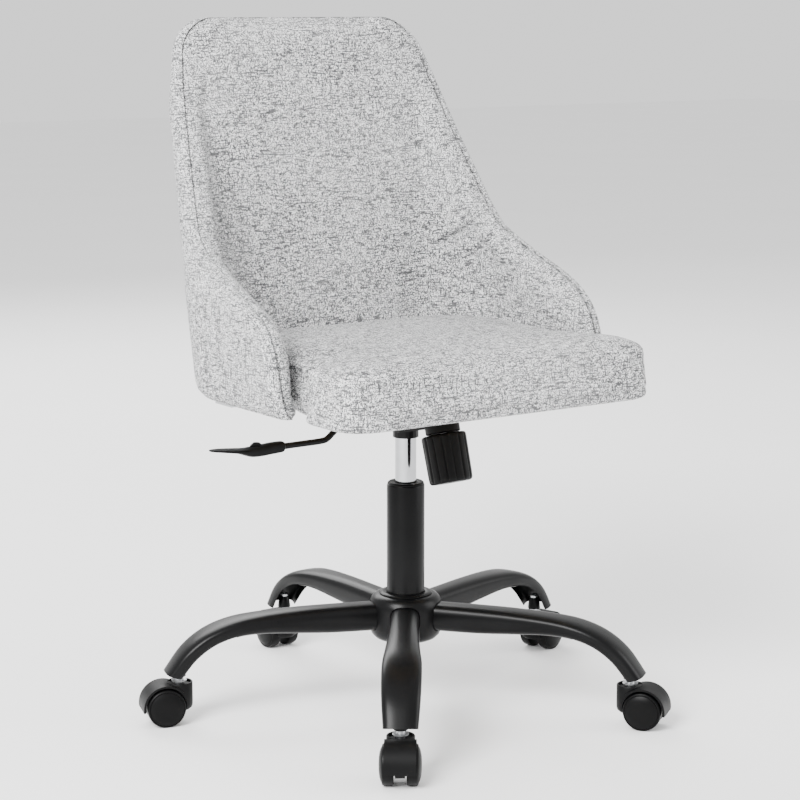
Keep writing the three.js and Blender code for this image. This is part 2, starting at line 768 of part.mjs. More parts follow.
// Half of the plan outline at a height, from the front edge to the rear middle.
// The outline is then moved inwards by an inset.
function planHalf(z, inset, columns) {
  const radius = cornerOf(z);
  const centreX = backHalfWidth(z) - radius;
  const centreY = rearOf(z) - radius;
  const front = rimFront(z);
  const bend = radius - inset;
  const firstAngle = Math.asin(THREE.MathUtils.clamp((front - centreY) / radius, 0, 0.9));
  const side = Math.max(0, centreY - front);
  const arc = radius * (Math.PI / 2 - firstAngle);
  const total = side + arc + centreX;
  const points = [];
  for (let i = 0; i <= columns; i += 1) {
    const s = (i / columns) * total;
    const angle = firstAngle + (s - side) / radius;
    if (s < side) points.push([centreX + bend, front + s]);
    else if (s < side + arc) {
      points.push([centreX + bend * Math.cos(angle), centreY + bend * Math.sin(angle)]);
    } else points.push([total - s, centreY + bend]);
  }
  return points;
}

// One height of a bent panel between two insets, as a closed ring: outside from left to right, then back.
function panelRing(z, outerInset, innerInset) {
  const columns = BACK_COLUMNS / 2;
  const whole = (inset) => {
    const right = planHalf(z, inset, columns).map(([x, y]) => [x, y, z]);
    const left = right.slice(0, -1).map(([x, y]) => [-x, y, z]);
    return [...right, ...left.reverse()];
  };
  return [...whole(outerInset), ...whole(innerInset).reverse()];
}

const BACK_HEIGHTS = [SHELL_BOTTOM, 463, 505, 534, 557, 585, 611, 634, 699, 773, 840, 872, 892, SHELL_TOP];

// The bent panel through every height. Its ends are strips between the outside and the inside.
function bentPanel(outerInset, innerInset) {
  const rings = BACK_HEIGHTS.map((z) => panelRing(z, outerInset, innerInset));
  const count = rings[0].length;
  const positions = [];
  const quad = (a, b, c, d) => positions.push(...a, ...b, ...c, ...a, ...c, ...d);
  for (let row = 1; row < rings.length; row += 1) {
    for (let i = 0; i < count; i += 1) {
      const next = (i + 1) % count;
      const corners = [rings[row - 1][i], rings[row - 1][next], rings[row][next], rings[row][i]];
      // both sides are split along the same diagonal, so neighbouring panels stay parallel
      if (i < count / 2) quad(...corners);
      else quad(corners[1], corners[2], corners[3], corners[0]);
    }
  }
  const top = rings[rings.length - 1];
  const bottom = rings[0];
  for (let i = 0; i < count / 2 - 1; i += 1) {
    const far = count - 1 - i;
    quad(top[i], top[i + 1], top[far - 1], top[far]);
    quad(bottom[i], bottom[far], bottom[far - 1], bottom[i + 1]);
  }
  const geometry = new THREE.BufferGeometry();
  geometry.setAttribute("position", new THREE.Float32BufferAttribute(positions, 3));
  return geometry;
}

piece("back_shell", bentPanel(0, SHELL_THICKNESS), greyFabric);
piece("back_pad", bentPanel(SHELL_THICKNESS + GAP, BACK_THICKNESS), greyFabric);

// steel straps that join the seat board to the shell's lower edge
const STRAP = 2.5;
for (const [name, side] of [["back_strap_left", 1], ["back_strap_right", -1]]) {
  const low = PLATE_TOP - STRAP;
  const high = SHELL_BOTTOM - GAP - STRAP;
  const line = [[120, low], [196, low], [212, high], [252, high]];
  const above = line.map(([x, z]) => [x, z + STRAP]).reverse();
  const strap = profileAlong([...line, ...above], 20, 60);
  if (side < 0) strap.rotateZ(Math.PI).translate(0, 80, 0);
  piece(name, strap, brightSteel);
}

// ---- seat cushion ----
// Plan outline of the cushion at a height: the front is wider than the part between the wings.
function cushionRing(z, inset) {
  const rear = rearOf(z) - BACK_THICKNESS - 2 - inset;
  const inner = SEAT_INNER_HALF_WIDTH - inset;
  const outer = SEAT_HALF_WIDTH - inset;
  const front = SEAT_FRONT + inset;
  const frontCorner = 42;
  const rearCorner = 122;
  const path = new THREE.Path();
  path.moveTo(0, front);
  path.lineTo(outer - frontCorner, front + 3);
  path.quadraticCurveTo(outer, front + 3, outer, front + 3 + frontCorner);
  path.lineTo(outer - 1, -138);
  path.bezierCurveTo(outer - 2, -122, inner, -124, inner, -104);
  path.lineTo(inner, rear - rearCorner);
  path.absarc(inner - rearCorner, rear - rearCorner, rearCorner, 0, Math.PI / 2, false);
  path.lineTo(0, rear);
  const half = path.getPoints(5).map((p) => [p.x, p.y, z]);
  const other = half.slice(1, -1).map(([x, y]) => [-x, y, z]);
  return [...half, ...other.reverse()];
}

function cushionGeometry() {
  const body = loft([
    cushionRing(SEAT_BOTTOM, 8),
    cushionRing(SEAT_BOTTOM + 10, 0),
    cushionRing(SEAT_TOP - 22, 0),
    cushionRing(SEAT_TOP - 8, 5),
    cushionRing(SEAT_TOP, 22),
  ]);
  return combine(body, [], [boardBlank(SEAT_BOTTOM - 20, BOARD_TOP + GAP, 1)]);
}

piece("seat_cushion", cushionGeometry(), greyFabric);

export default chair;
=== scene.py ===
"""Upholstered swivel desk chair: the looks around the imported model, in metres, in the model's own frame."""
import json
import math

import bmesh
import bpy
import numpy as np
from mathutils import Matrix, Vector, kdtree

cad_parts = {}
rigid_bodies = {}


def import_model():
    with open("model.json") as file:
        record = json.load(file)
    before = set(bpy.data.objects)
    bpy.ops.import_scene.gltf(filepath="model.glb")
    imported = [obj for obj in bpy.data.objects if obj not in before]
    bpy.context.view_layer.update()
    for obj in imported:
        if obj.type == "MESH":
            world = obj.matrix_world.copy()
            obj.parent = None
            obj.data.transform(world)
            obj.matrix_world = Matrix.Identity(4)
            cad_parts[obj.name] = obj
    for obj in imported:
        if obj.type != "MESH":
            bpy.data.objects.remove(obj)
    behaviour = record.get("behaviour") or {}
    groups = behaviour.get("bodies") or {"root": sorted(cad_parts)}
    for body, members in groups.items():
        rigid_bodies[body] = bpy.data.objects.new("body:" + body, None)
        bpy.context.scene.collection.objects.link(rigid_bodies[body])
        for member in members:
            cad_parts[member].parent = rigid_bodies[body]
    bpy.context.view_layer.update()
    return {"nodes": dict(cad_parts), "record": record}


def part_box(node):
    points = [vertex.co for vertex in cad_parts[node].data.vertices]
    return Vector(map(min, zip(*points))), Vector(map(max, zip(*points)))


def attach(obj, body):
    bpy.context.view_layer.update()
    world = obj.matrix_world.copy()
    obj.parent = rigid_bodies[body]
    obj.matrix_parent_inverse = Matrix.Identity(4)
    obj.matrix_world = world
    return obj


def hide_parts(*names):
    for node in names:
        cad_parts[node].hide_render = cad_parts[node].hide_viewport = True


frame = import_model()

MM = 0.001
LEGS = range(1, 6)
NODES = frame["nodes"]


# ---------------------------------------------------------------- mesh helpers
def add_mesh(name, verts, faces, material, smooth=True):
    mesh = bpy.data.meshes.new(name)
    mesh.from_pydata([tuple(v) for v in verts], [], [tuple(f) for f in faces])
    mesh.validate()
    obj = bpy.data.objects.new(name, mesh)
    bpy.context.collection.objects.link(obj)
    tidy_normals(obj)
    if material:
        mesh.materials.append(material)
    if smooth:
        mesh.shade_smooth()
    return obj


def tidy_normals(obj):
    """Welds doubled points and turns every face outwards."""
    edit = bmesh.new()
    edit.from_mesh(obj.data)
    bmesh.ops.remove_doubles(edit, verts=edit.verts, dist=2e-6)
    bmesh.ops.dissolve_degenerate(edit, edges=edit.edges, dist=1e-7)
    bmesh.ops.recalc_face_normals(edit, faces=edit.faces)
    edit.to_mesh(obj.data)
    edit.free()


def settle_modifiers(obj):
    """Applies an object's modifiers to its mesh."""
    graph = bpy.context.evaluated_depsgraph_get()
    mesh = bpy.data.meshes.new_from_object(obj.evaluated_get(graph))
    obj.modifiers.clear()
    obj.data = mesh
    return obj


def cut(obj, cutter, operation="DIFFERENCE"):
    """A boolean with another object, which is then removed."""
    modifier = obj.modifiers.new("cut", "BOOLEAN")
    modifier.operation = operation
    modifier.solver = "EXACT"
    modifier.object = cutter
    settle_modifiers(obj)
    bpy.data.objects.remove(cutter)
    return obj


def bevel(obj, width, segments=3, angle=30):
    modifier = obj.modifiers.new("bevel", "BEVEL")
    modifier.width = width
    modifier.segments = segments
    modifier.limit_method = "ANGLE"
    modifier.angle_limit = math.radians(angle)
    return obj


def crisp(obj, angle=35):
    """Smooth shading that keeps the sharp edges."""
    obj.data.shade_smooth()
    obj.data.set_sharp_from_angle(angle=math.radians(angle))
    return obj


def grid_faces(rows, columns, wrap=False, start=0):
    faces = []
    last = columns if wrap else columns - 1
    for row in range(rows - 1):
        for i in range(last):
            j = (i + 1) % columns
            a = start + row * columns
            b = a + columns
            faces.append((a + i, a + j, b + j, b + i))
    return faces


def turned(name, profile, material, segments=64):
    """A solid of revolution about Z from (radius, height) pairs."""
    angles = [2 * math.pi * k / segments for k in range(segments)]
    verts = [(r * math.cos(a), r * math.sin(a), z) for r, z in profile for a in angles]
    faces = grid_faces(len(profile), segments, wrap=True)
    return add_mesh(name, verts, faces, material)


def loft(name, rings, material, caps=True):
    """A skin through rings of equally many points."""
    count = len(rings[0])
    verts = [p for ring in rings for p in ring]
    faces = grid_faces(len(rings), count, wrap=True)
    if caps:
        faces.append(tuple(range(count)))
        faces.append(tuple(range(len(verts) - count, len(verts))))
    return add_mesh(name, verts, faces, material)


def prism(name, outline, low, high, material, matrix=None):
    """An outline of (x, y) points extruded along Z."""
    rings = [[(x, y, z) for x, y in outline] for z in (low, high)]
    obj = loft(name, rings, material)
    if matrix is not None:
        obj.data.transform(matrix)
    return obj


def tube(name, points, radius, material, sides=20):
    """A round bar along a smooth line of points."""
    line = smooth_line(points, 8)
    rings = []
    side = Vector((0, 1, 0))
    for i, p in enumerate(line):
        ahead = Vector(line[min(i + 1, len(line) - 1)]) - Vector(line[max(i - 1, 0)])
        ahead.normalize()
        side = (side - ahead * side.dot(ahead)).normalized()
        up = ahead.cross(side)
        rings.append([
            Vector(p) + radius * (math.cos(a) * side + math.sin(a) * up)
            for a in (2 * math.pi * k / sides for k in range(sides))
        ])
    return loft(name, rings, material)


def smooth_line(points, steps):
    """A Catmull-Rom curve through the points."""
    p = np.array(points, float)
    p = np.vstack([2 * p[0] - p[1], p, 2 * p[-1] - p[-2]])
    out = []
    for i in range(1, len(p) - 2):
        for k in range(steps):
            t = k / steps
            out.append(0.5 * (
                2 * p[i] + (p[i + 1] - p[i - 1]) * t
                + (2 * p[i - 1] - 5 * p[i] + 4 * p[i + 1] - p[i + 2]) * t ** 2
                + (3 * p[i] - p[i - 1] - 3 * p[i + 1] + p[i + 2]) * t ** 3
            ))
    out.append(p[-2])
    return np.array(out)


def copy_of(obj, name, matrix):
    twin = bpy.data.objects.new(name, obj.data.copy())
    twin.data.transform(matrix)
    bpy.context.collection.objects.link(twin)
    for modifier in obj.modifiers:
        new = twin.modifiers.new(modifier.name, modifier.type)
        for key in ("width", "segments", "limit_method", "angle_limit", "levels", "render_levels"):
            if hasattr(modifier, key):
                setattr(new, key, getattr(modifier, key))
    return twin


def stand_for(obj, body, slot, *nodes):
    """The piece rides on a body and stands for CAD nodes, which it hides. The slot argument is not used."""
    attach(obj, body)
    if nodes:
        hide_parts(*nodes)
    return obj


# ---------------------------------------------------------------- materials
class Shader:
    """A new material and short ways to add and join its nodes."""

    def __init__(self, name, **values):
        self.material = bpy.data.materials.new(name)
        self.material.use_nodes = True
        self.tree = self.material.node_tree
        self.surface = self.tree.nodes["Principled BSDF"]
        for key, value in values.items():
            self.surface.inputs[key.replace("_", " ")].default_value = value

    def node(self, kind, **values):
        made = self.tree.nodes.new("ShaderNode" + kind)
        for key, value in values.items():
            if hasattr(made, key):
                setattr(made, key, value)
            else:
                made.inputs[key.replace("_", " ")].default_value = value
        return made

    def join(self, source, target):
        output = source.outputs[0] if hasattr(source, "outputs") else source
        if isinstance(target, str):
            target = self.surface.inputs[target]
        self.tree.links.new(output, target)

    def math(self, operation, a, b=0.0):
        made = self.tree.nodes.new("ShaderNodeMath")
        made.operation = operation
        for socket, value in zip(made.inputs, (a, b)):
            if isinstance(value, (int, float)):
                socket.default_value = value
            else:
                self.join(value, socket)
        return made

    def noise(self, vector, scale, detail=2.0, roughness=0.5):
        made = self.tree.nodes.new("ShaderNodeTexNoise")
        made.inputs["Scale"].default_value = scale
        made.inputs["Detail"].default_value = detail
        made.inputs["Roughness"].default_value = roughness
        self.join(vector, made.inputs["Vector"])
        return made.outputs[0]

    def stretch(self, vector, x, y, z):
        made = self.tree.nodes.new("ShaderNodeMapping")
        made.inputs["Scale"].default_value = (x, y, z)
        self.join(vector, made.inputs["Vector"])
        return made

    def between(self, value, low, high, to_low=0.0, to_high=1.0):
        made = self.tree.nodes.new("ShaderNodeMapRange")
        made.inputs["From Min"].default_value = low
        made.inputs["From Max"].default_value = high
        made.inputs["To Min"].default_value = to_low
        made.inputs["To Max"].default_value = to_high
        self.join(value, made.inputs["Value"])
        return made

    def blend(self, factor, a, b):
        made = self.tree.nodes.new("ShaderNodeMix")
        made.data_type = "RGBA"
        for socket, value in ((made.inputs[6], a), (made.inputs[7], b)):
            if isinstance(value, (tuple, list)):
                socket.default_value = (*value, 1.0)
            else:
                self.join(value, socket)
        self.join(factor, made.inputs[0])
        return made.outputs[2]

    def bump(self, height, strength, distance, under=None):
        made = self.tree.nodes.new("ShaderNodeBump")
        made.inputs["Strength"].default_value = strength
        made.inputs["Distance"].default_value = distance
        self.join(height, made.inputs["Height"])
        if under is not None:
            self.join(under, made.inputs["Normal"])
        return made


LIGHT_YARN = (0.62, 0.62, 0.625)
PALE_YARN = (0.90, 0.90, 0.90)
DARK_YARN = (0.03, 0.031, 0.034)
YARN_PITCH = 1.5 * MM
SLUB_THIN = 640.0  # noise cells per metre across a slub
SLUB_LONG = 85.0  # and along it


def fabric():
    """A light grey melange: undyed yarn with dark flecks, and dark slubs along the weft and the warp."""
    s = Shader("melange_fabric", Roughness=0.93, Sheen_Weight=0.04, Sheen_Roughness=0.5)
    s.surface.inputs["Specular IOR Level"].default_value = 0.15
    coords = s.node("TexCoord")
    place = coords.outputs["Object"]
    facing = s.node("SeparateXYZ")
    s.join(coords.outputs["Normal"], facing.inputs[0])
    lies_flat = s.between(s.math("ABSOLUTE", facing.outputs[2]), 0.6, 0.75)

    def threads(upright, flat):
        """Slubs on a standing face and on a lying one, joined where the cloth turns."""
        standing = s.noise(s.stretch(place, *upright), 1.0, 2.0, 0.55)
        lying = s.noise(s.stretch(place, *flat), 1.0, 2.0, 0.55)
        both = s.node("Mix")
        s.join(lies_flat, both.inputs[0])
        s.join(standing, both.inputs[2])
        s.join(lying, both.inputs[3])
        return both.outputs[0]

    weft = threads((SLUB_LONG, SLUB_LONG, SLUB_THIN), (SLUB_LONG, SLUB_THIN, SLUB_LONG))
    warp = threads((SLUB_THIN, SLUB_THIN, SLUB_LONG), (SLUB_THIN, SLUB_LONG, SLUB_THIN))
    grain = s.noise(place, 660, 1.0, 0.5)
    cloud = s.noise(place, 11, 2.0)
    slubs = s.math("MAXIMUM", s.between(weft, 0.53, 0.60), s.between(warp, 0.54, 0.61))
    fleck = s.between(grain, 0.49, 0.57)
    amount = s.between(cloud, 0.35, 0.7, 0.94, 1.06)
    strongest = s.math("MAXIMUM", s.math("MULTIPLY", slubs, 0.88), s.math("MULTIPLY", fleck, 0.96))
    dark = s.math("MULTIPLY", strongest, amount)
    yarn = s.blend(s.between(s.noise(place, 900, 1.0), 0.4, 0.6), LIGHT_YARN, PALE_YARN)
    rubbed = s.between(s.noise(place, 5, 3.0), 0.4, 0.75, 0.0, 0.1)
    worn = s.blend(rubbed, yarn, tuple(0.8 * c for c in LIGHT_YARN))
    s.join(s.blend(s.math("MINIMUM", dark, 0.95), worn, DARK_YARN), "Base Color")
    # plain weave: over one, under one
    split = s.node("SeparateXYZ")
    s.join(place, split.inputs[0])
    turn = math.pi / YARN_PITCH
    waves = [s.math("SINE", s.math("MULTIPLY", axis, turn)) for axis in split.outputs]
    knit = s.math("MULTIPLY", s.math("MULTIPLY", waves[0], waves[1]), waves[2])
    height = s.math("ADD", s.math("MULTIPLY", knit, 0.5), s.math("MULTIPLY", s.math("ADD", weft, warp), 0.8))
    fuzz = s.bump(s.noise(place, 900, 2.0), 0.35, 0.35 * MM)
    s.join(s.bump(height, 0.55, 0.45 * MM, fuzz), "Normal")
    return s.material


def powder_coat():
    s = Shader("powder_coated_steel", Coat_Weight=0.05, Coat_Roughness=0.3)
    s.surface.inputs["Specular IOR Level"].default_value = 0.11
    place = s.node("TexCoord").outputs["Object"]
    patch = s.noise(place, 18, 3.0)
    peel = s.noise(place, 950, 2.0)
    colour = s.blend(s.between(patch, 0.3, 0.7), (0.0022, 0.0022, 0.0024), (0.0040, 0.0041, 0.0044))
    s.join(colour, "Base Color")
    s.join(s.between(peel, 0.3, 0.7, 0.27, 0.36), "Roughness")
    s.join(s.bump(peel, 0.22, 0.12 * MM), "Normal")
    return s.material


def moulded(name, dark, light, rough):
    """Moulded plastic with a fine spark-eroded grain."""
    s = Shader(name)
    s.surface.inputs["Specular IOR Level"].default_value = 0.11
    place = s.node("TexCoord").outputs["Object"]
    grain = s.noise(place, 2300, 2.0, 0.6)
    haze = s.noise(place, 40, 3.0)
    s.join(s.blend(s.between(haze, 0.3, 0.7), dark, light), "Base Color")
    s.join(s.between(haze, 0.3, 0.7, rough - 0.05, rough + 0.06), "Roughness")
    s.join(s.bump(grain, 0.3, 0.1 * MM), "Normal")
    return s.material


def metal(name, colour, rough, streak_scale, wear=0.05):
    """Bare metal with drawing lines round its axis and faint smudges."""
    s = Shader(name, Metallic=1.0)
    place = s.node("TexCoord").outputs["Object"]
    lines = s.noise(s.stretch(place, 6, 6, streak_scale), 1.0, 4.0, 0.7)
    smudge = s.noise(place, 55, 3.0)
    low = tuple(c * 0.86 for c in colour)
    s.join(s.blend(s.between(smudge, 0.3, 0.75), colour, low), "Base Color")
    drawn = s.between(lines, 0.3, 0.7, rough, rough + wear)
    s.join(s.math("ADD", drawn, s.between(smudge, 0.4, 0.8, 0.0, wear)), "Roughness")
    s.join(s.bump(lines, 0.08, 0.05 * MM), "Normal")
    return s.material


def plywood():
    s = Shader("birch_plywood", Roughness=0.62)
    place = s.node("TexCoord").outputs["Object"]
    grain = s.noise(s.stretch(place, 8, 160, 700), 1.0, 5.0, 0.6)
    plies = s.node("TexWave", Scale=160.0, Distortion=0.6, bands_direction="Z")
    s.join(place, plies.inputs["Vector"])
    wood = s.blend(s.between(grain, 0.3, 0.7), (0.52, 0.36, 0.2), (0.66, 0.5, 0.31))
    glue_lines = s.between(plies.outputs["Fac"], 0.55, 0.9, 0.0, 0.45)
    s.join(s.blend(glue_lines, wood, (0.24, 0.14, 0.07)), "Base Color")
    s.join(s.bump(grain, 0.2, 0.2 * MM), "Normal")
    return s.material


def thread():
    """Grey sewing thread, twisted."""
    s = Shader("sewing_thread", Roughness=0.7)
    place = s.node("TexCoord").outputs["Object"]
    twist = s.noise(place, 2600, 1.0)
    s.join(s.blend(s.between(twist, 0.4, 0.6), (0.2, 0.2, 0.205), (0.34, 0.34, 0.345)), "Base Color")
    s.join(s.bump(twist, 0.4, 0.1 * MM), "Normal")
    return s.material


FABRIC = fabric()
THREAD = thread()
STEEL = powder_coat()
PLASTIC = moulded("moulded_black", (0.0020, 0.0020, 0.0022), (0.0034, 0.0035, 0.0036), 0.46)
WHEEL = moulded("wheel_black", (0.0012, 0.0012, 0.0013), (0.0022, 0.0022, 0.0023), 0.4)
CHROME = metal("polished_chrome", (0.44, 0.445, 0.455), 0.07, 900, 0.04)
ZINC = metal("zinc_plate", (0.56, 0.57, 0.58), 0.26, 300, 0.08)
PLY = plywood()
SLOT_MATERIAL = {
    "black_steel": STEEL,
    "black_plastic": PLASTIC,
    "wheel_plastic": WHEEL,
    "chrome": CHROME,
    "bright_steel": ZINC,
    "plywood": PLY,
    "grey_fabric": FABRIC,
}


# ---------------------------------------------------------------- base
STEM_CIRCLE = 307 * MM
LEG_STATIONS = [  # distance out, height, half width, half height (mm), slope of the section (degrees)
    (30, 122, 19, 18.5, 0),
    (100, 123, 19.5, 18, 0),
    (150, 124.5, 20.5, 16, 0),
    (200, 125, 22.5, 13, 6),
    (236, 121.5, 24.8, 11.5, 16),
    (267, 111, 25, 11, 30),
    (293, 92.4, 24, 11, 47),
    (315, 65, 21.5, 11, 72),
]
CHANNEL_STATION = 4  # from this station outwards the leg is an open channel
LEG_SIDES = 36
LEG_WALL = 2.0


def leg_rings(inset, stations, steps=5):
    """Rounded-rectangle sections along a leg that runs out along +X."""
    rings = []
    for out, height, half_width, half_height, slope in smooth_line(stations, steps):
        lean = math.radians(slope)
        ring = []
        for k in range(LEG_SIDES):
            a = 2 * math.pi * (k + 0.5) / LEG_SIDES
            across = math.copysign(abs(math.cos(a)) ** 0.66, math.cos(a)) * (half_width - inset)
            up = math.copysign(abs(math.sin(a)) ** 0.66, math.sin(a)) * (half_height - inset)
            point = (out + up * math.sin(lean), across, height + up * math.cos(lean))
            ring.append(tuple(c * MM for c in point))
        rings.append(ring)
    return rings


def channel_cutter():
    """The room taken out of a leg's underside, between its side walls."""
    rings = []
    stations = list(LEG_STATIONS[CHANNEL_STATION:])
    out, height, half_width, half_height, slope = stations[-1]
    stations.append((out + 9, height - 24, half_width, half_height, slope + 8))
    for out, height, half_width, half_height, slope in smooth_line(stations, 6):
        lean = math.radians(slope)
        half = half_width - LEG_WALL - 1
        ring = []
        for across, up in ((-half, -half_height - 4), (half, -half_height - 4), (half, 0), (-half, 0)):
            point = (out + up * math.sin(lean), across, height + up * math.cos(lean))
            ring.append(tuple(c * MM for c in point))
        rings.append(ring)
    return loft("channel", rings, None)


def make_leg():
    outer = leg_rings(0, LEG_STATIONS)
    inner = leg_rings(LEG_WALL, LEG_STATIONS)
    leg = loft("leg_master", outer + inner[::-1] + [outer[0]], STEEL, caps=False)
    cut(leg, channel_cutter())
    leg.data.materials.clear()
    leg.data.materials.append(STEEL)
    crisp(bevel(leg, 0.5 * MM, 2, 50), 50)
    # a short cone holds the caster's stem
    low, high, bore = 62 * MM, 78 * MM, 5.9 * MM
    sleeve = turned("sleeve", [
        (bore, low), (8.4 * MM, low), (9 * MM, low + 0.7 * MM), (7.3 * MM, high - 0.8 * MM), (6.7 * MM, high),
        (bore, high), (bore, low),
    ], STEEL, 32)
    sleeve.data.transform(Matrix.Translation((STEM_CIRCLE, 0, 0)))
    return leg, crisp(sleeve)


def leg_turn(i):
    return Matrix.Rotation(math.pi / 2 + (i - 1) * 2 * math.pi / 5, 4, "Z")


def make_base():
    leg, sleeve = make_leg()
    for i in LEGS:
        stand_for(copy_of(leg, f"leg_{i}", leg_turn(i)), "base", "black_steel", f"base_leg_{i}")
        stand_for(copy_of(sleeve, f"stem_sleeve_{i}", leg_turn(i)), "base", "black_steel")
    hub_low, hub_high = (corner[2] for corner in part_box("base_hub"))
    bore = 25.3 * MM
    hub = turned("hub", [
        (bore, hub_low), (37 * MM, hub_low), (40.5 * MM, hub_low + 1.5 * MM), (45 * MM, hub_low + 6 * MM),
        (47.6 * MM, hub_low + 12 * MM), (48.9 * MM, hub_low + 19 * MM), (49 * MM, hub_low + 28 * MM),
        (48.9 * MM, hub_high - 17 * MM), (47.8 * MM, hub_high - 11 * MM), (45.6 * MM, hub_high - 5.6 * MM),
        (42 * MM, hub_high - 1.6 * MM), (38 * MM, hub_high), (bore, hub_high), (bore, hub_low),
    ], STEEL, 96)
    room = leg_rings(-0.8, [(26, *LEG_STATIONS[0][1:]), *LEG_STATIONS[1:3]], 2)
    for i in LEGS:
        cutter = loft("saddle", room, None)
        cutter.data.transform(leg_turn(i))
        cut(hub, cutter)
    crisp(bevel(hub, 0.9 * MM, 2, 40), 50)
    stand_for(hub, "base", "black_steel", "base_hub")
    low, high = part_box("hub_ring")
    collar = turned("hub_collar", [
        (25.15 * MM, low[2]), (high[0] - 0.8 * MM, low[2]), (high[0], low[2] + 1.0 * MM),
        (high[0], high[2] - 2.2 * MM), (high[0] - 1.2 * MM, high[2] - 0.8 * MM), (high[0] - 4 * MM, high[2]),
        (27 * MM, high[2]), (25.15 * MM, high[2] - 1.2 * MM), (25.15 * MM, low[2]),
    ], STEEL, 96)
    stand_for(crisp(collar), "base", "black_steel", "hub_ring")


def make_column():
    low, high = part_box("column_tube")
    radius = high[0]
    bore = radius - 2.5 * MM
    column = turned("column_outer_tube", [
        (10 * MM, low[2]), (radius - 1.5 * MM, low[2]), (radius, low[2] + 1.5 * MM),
        (radius, high[2] - 1.6 * MM), (radius - 0.5 * MM, high[2] - 0.4 * MM), (radius - 1.2 * MM, high[2]),
        (bore, high[2]), (bore, low[2] + 4 * MM), (10 * MM, low[2] + 4 * MM), (10 * MM, low[2]),
    ], STEEL, 96)
    stand_for(crisp(column), "base", "black_steel", "column_tube")
    low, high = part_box("column_bush")
    rim = high[0]
    shoulder = high[2] - 2.7 * MM
    bush = turned("column_guide_bush", [
        (14.25 * MM, low[2]), (22.2 * MM, low[2]), (22.2 * MM, shoulder), (rim, shoulder),
        (rim, high[2] - 1.4 * MM), (rim - 1.4 * MM, high[2]), (16.5 * MM, high[2]),
        (14.9 * MM, high[2] - 0.8 * MM), (14.25 * MM, high[2] - 2 * MM), (14.25 * MM, low[2]),
    ], PLASTIC, 96)
    stand_for(crisp(bush), "base", "black_plastic", "column_bush")
    low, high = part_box("lift_cylinder")
    r = high[0]
    cylinder = turned("gas_lift_cylinder", [
        (5.4 * MM, low[2]), (r - 1.5 * MM, low[2]), (r, low[2] + 1.5 * MM), (r, high[2] - 30 * MM),
        (r - 0.8 * MM, high[2] - 0.6 * MM), (r - 1.4 * MM, high[2]), (4.4 * MM, high[2]),
        (4.4 * MM, high[2] - 6 * MM), (r - 1.5 * MM, high[2] - 6 * MM), (r - 1.5 * MM, low[2] + 6 * MM),
        (5.4 * MM, low[2] + 6 * MM), (5.4 * MM, low[2]),
    ], CHROME, 96)
    stand_for(crisp(cylinder), "mechanism", "chrome", "lift_cylinder")


# ---------------------------------------------------------------- casters
TRAIL = 20 * MM
WHEEL_RADIUS = 25 * MM
WHEEL_INNER = 8 * MM
WHEEL_OUTER = 22 * MM
WHEEL_DOME = 26 * MM
WEB_LOW = 14 * MM  # the wheels stand apart below this height


def make_wheel():
    """A wheel on the X axis at the origin, its cap towards +X."""
    r, inner, outer, dome = (v / MM for v in (WHEEL_RADIUS, WHEEL_INNER, WHEEL_OUTER, WHEEL_DOME))
    profile = [
        (4.3, inner + 1), (7, inner + 1), (7.6, inner), (r - 1.6, inner), (r - 0.4, inner + 0.6),
        (r, inner + 1.8),
        (r, outer - 2.2), (r - 0.5, outer - 0.8), (r - 1.6, outer), (r - 2.2, outer), (r - 2.5, outer - 0.5),
        (r - 2.9, outer - 0.5), (r - 3.3, outer + 0.3), (19, outer + 1.7), (15, outer + 2.9),
        (10, dome - 0.35),
        (5, dome - 0.05), (0, dome), (0, outer), (4.3, outer), (4.3, inner + 1),
    ]
    wheel = turned("wheel_master", [(a * MM, b * MM) for a, b in profile], WHEEL, 80)
    wheel.data.transform(Matrix.Rotation(math.pi / 2, 4, "Y"))
    return crisp(wheel, 28)


def arc(radius, start, end, steps):
    angles = np.linspace(math.radians(start), math.radians(end), steps)
    return [(radius * math.cos(a), radius * math.sin(a)) for a in angles]


def rectangle(half_x, half_y):
    return [(-half_x, -half_y), (half_x, -half_y), (half_x, half_y), (-half_x, half_y)]


UPRIGHT = Matrix.Rotation(math.pi / 2, 4, "X")  # a prism's outline stands in the XZ plane


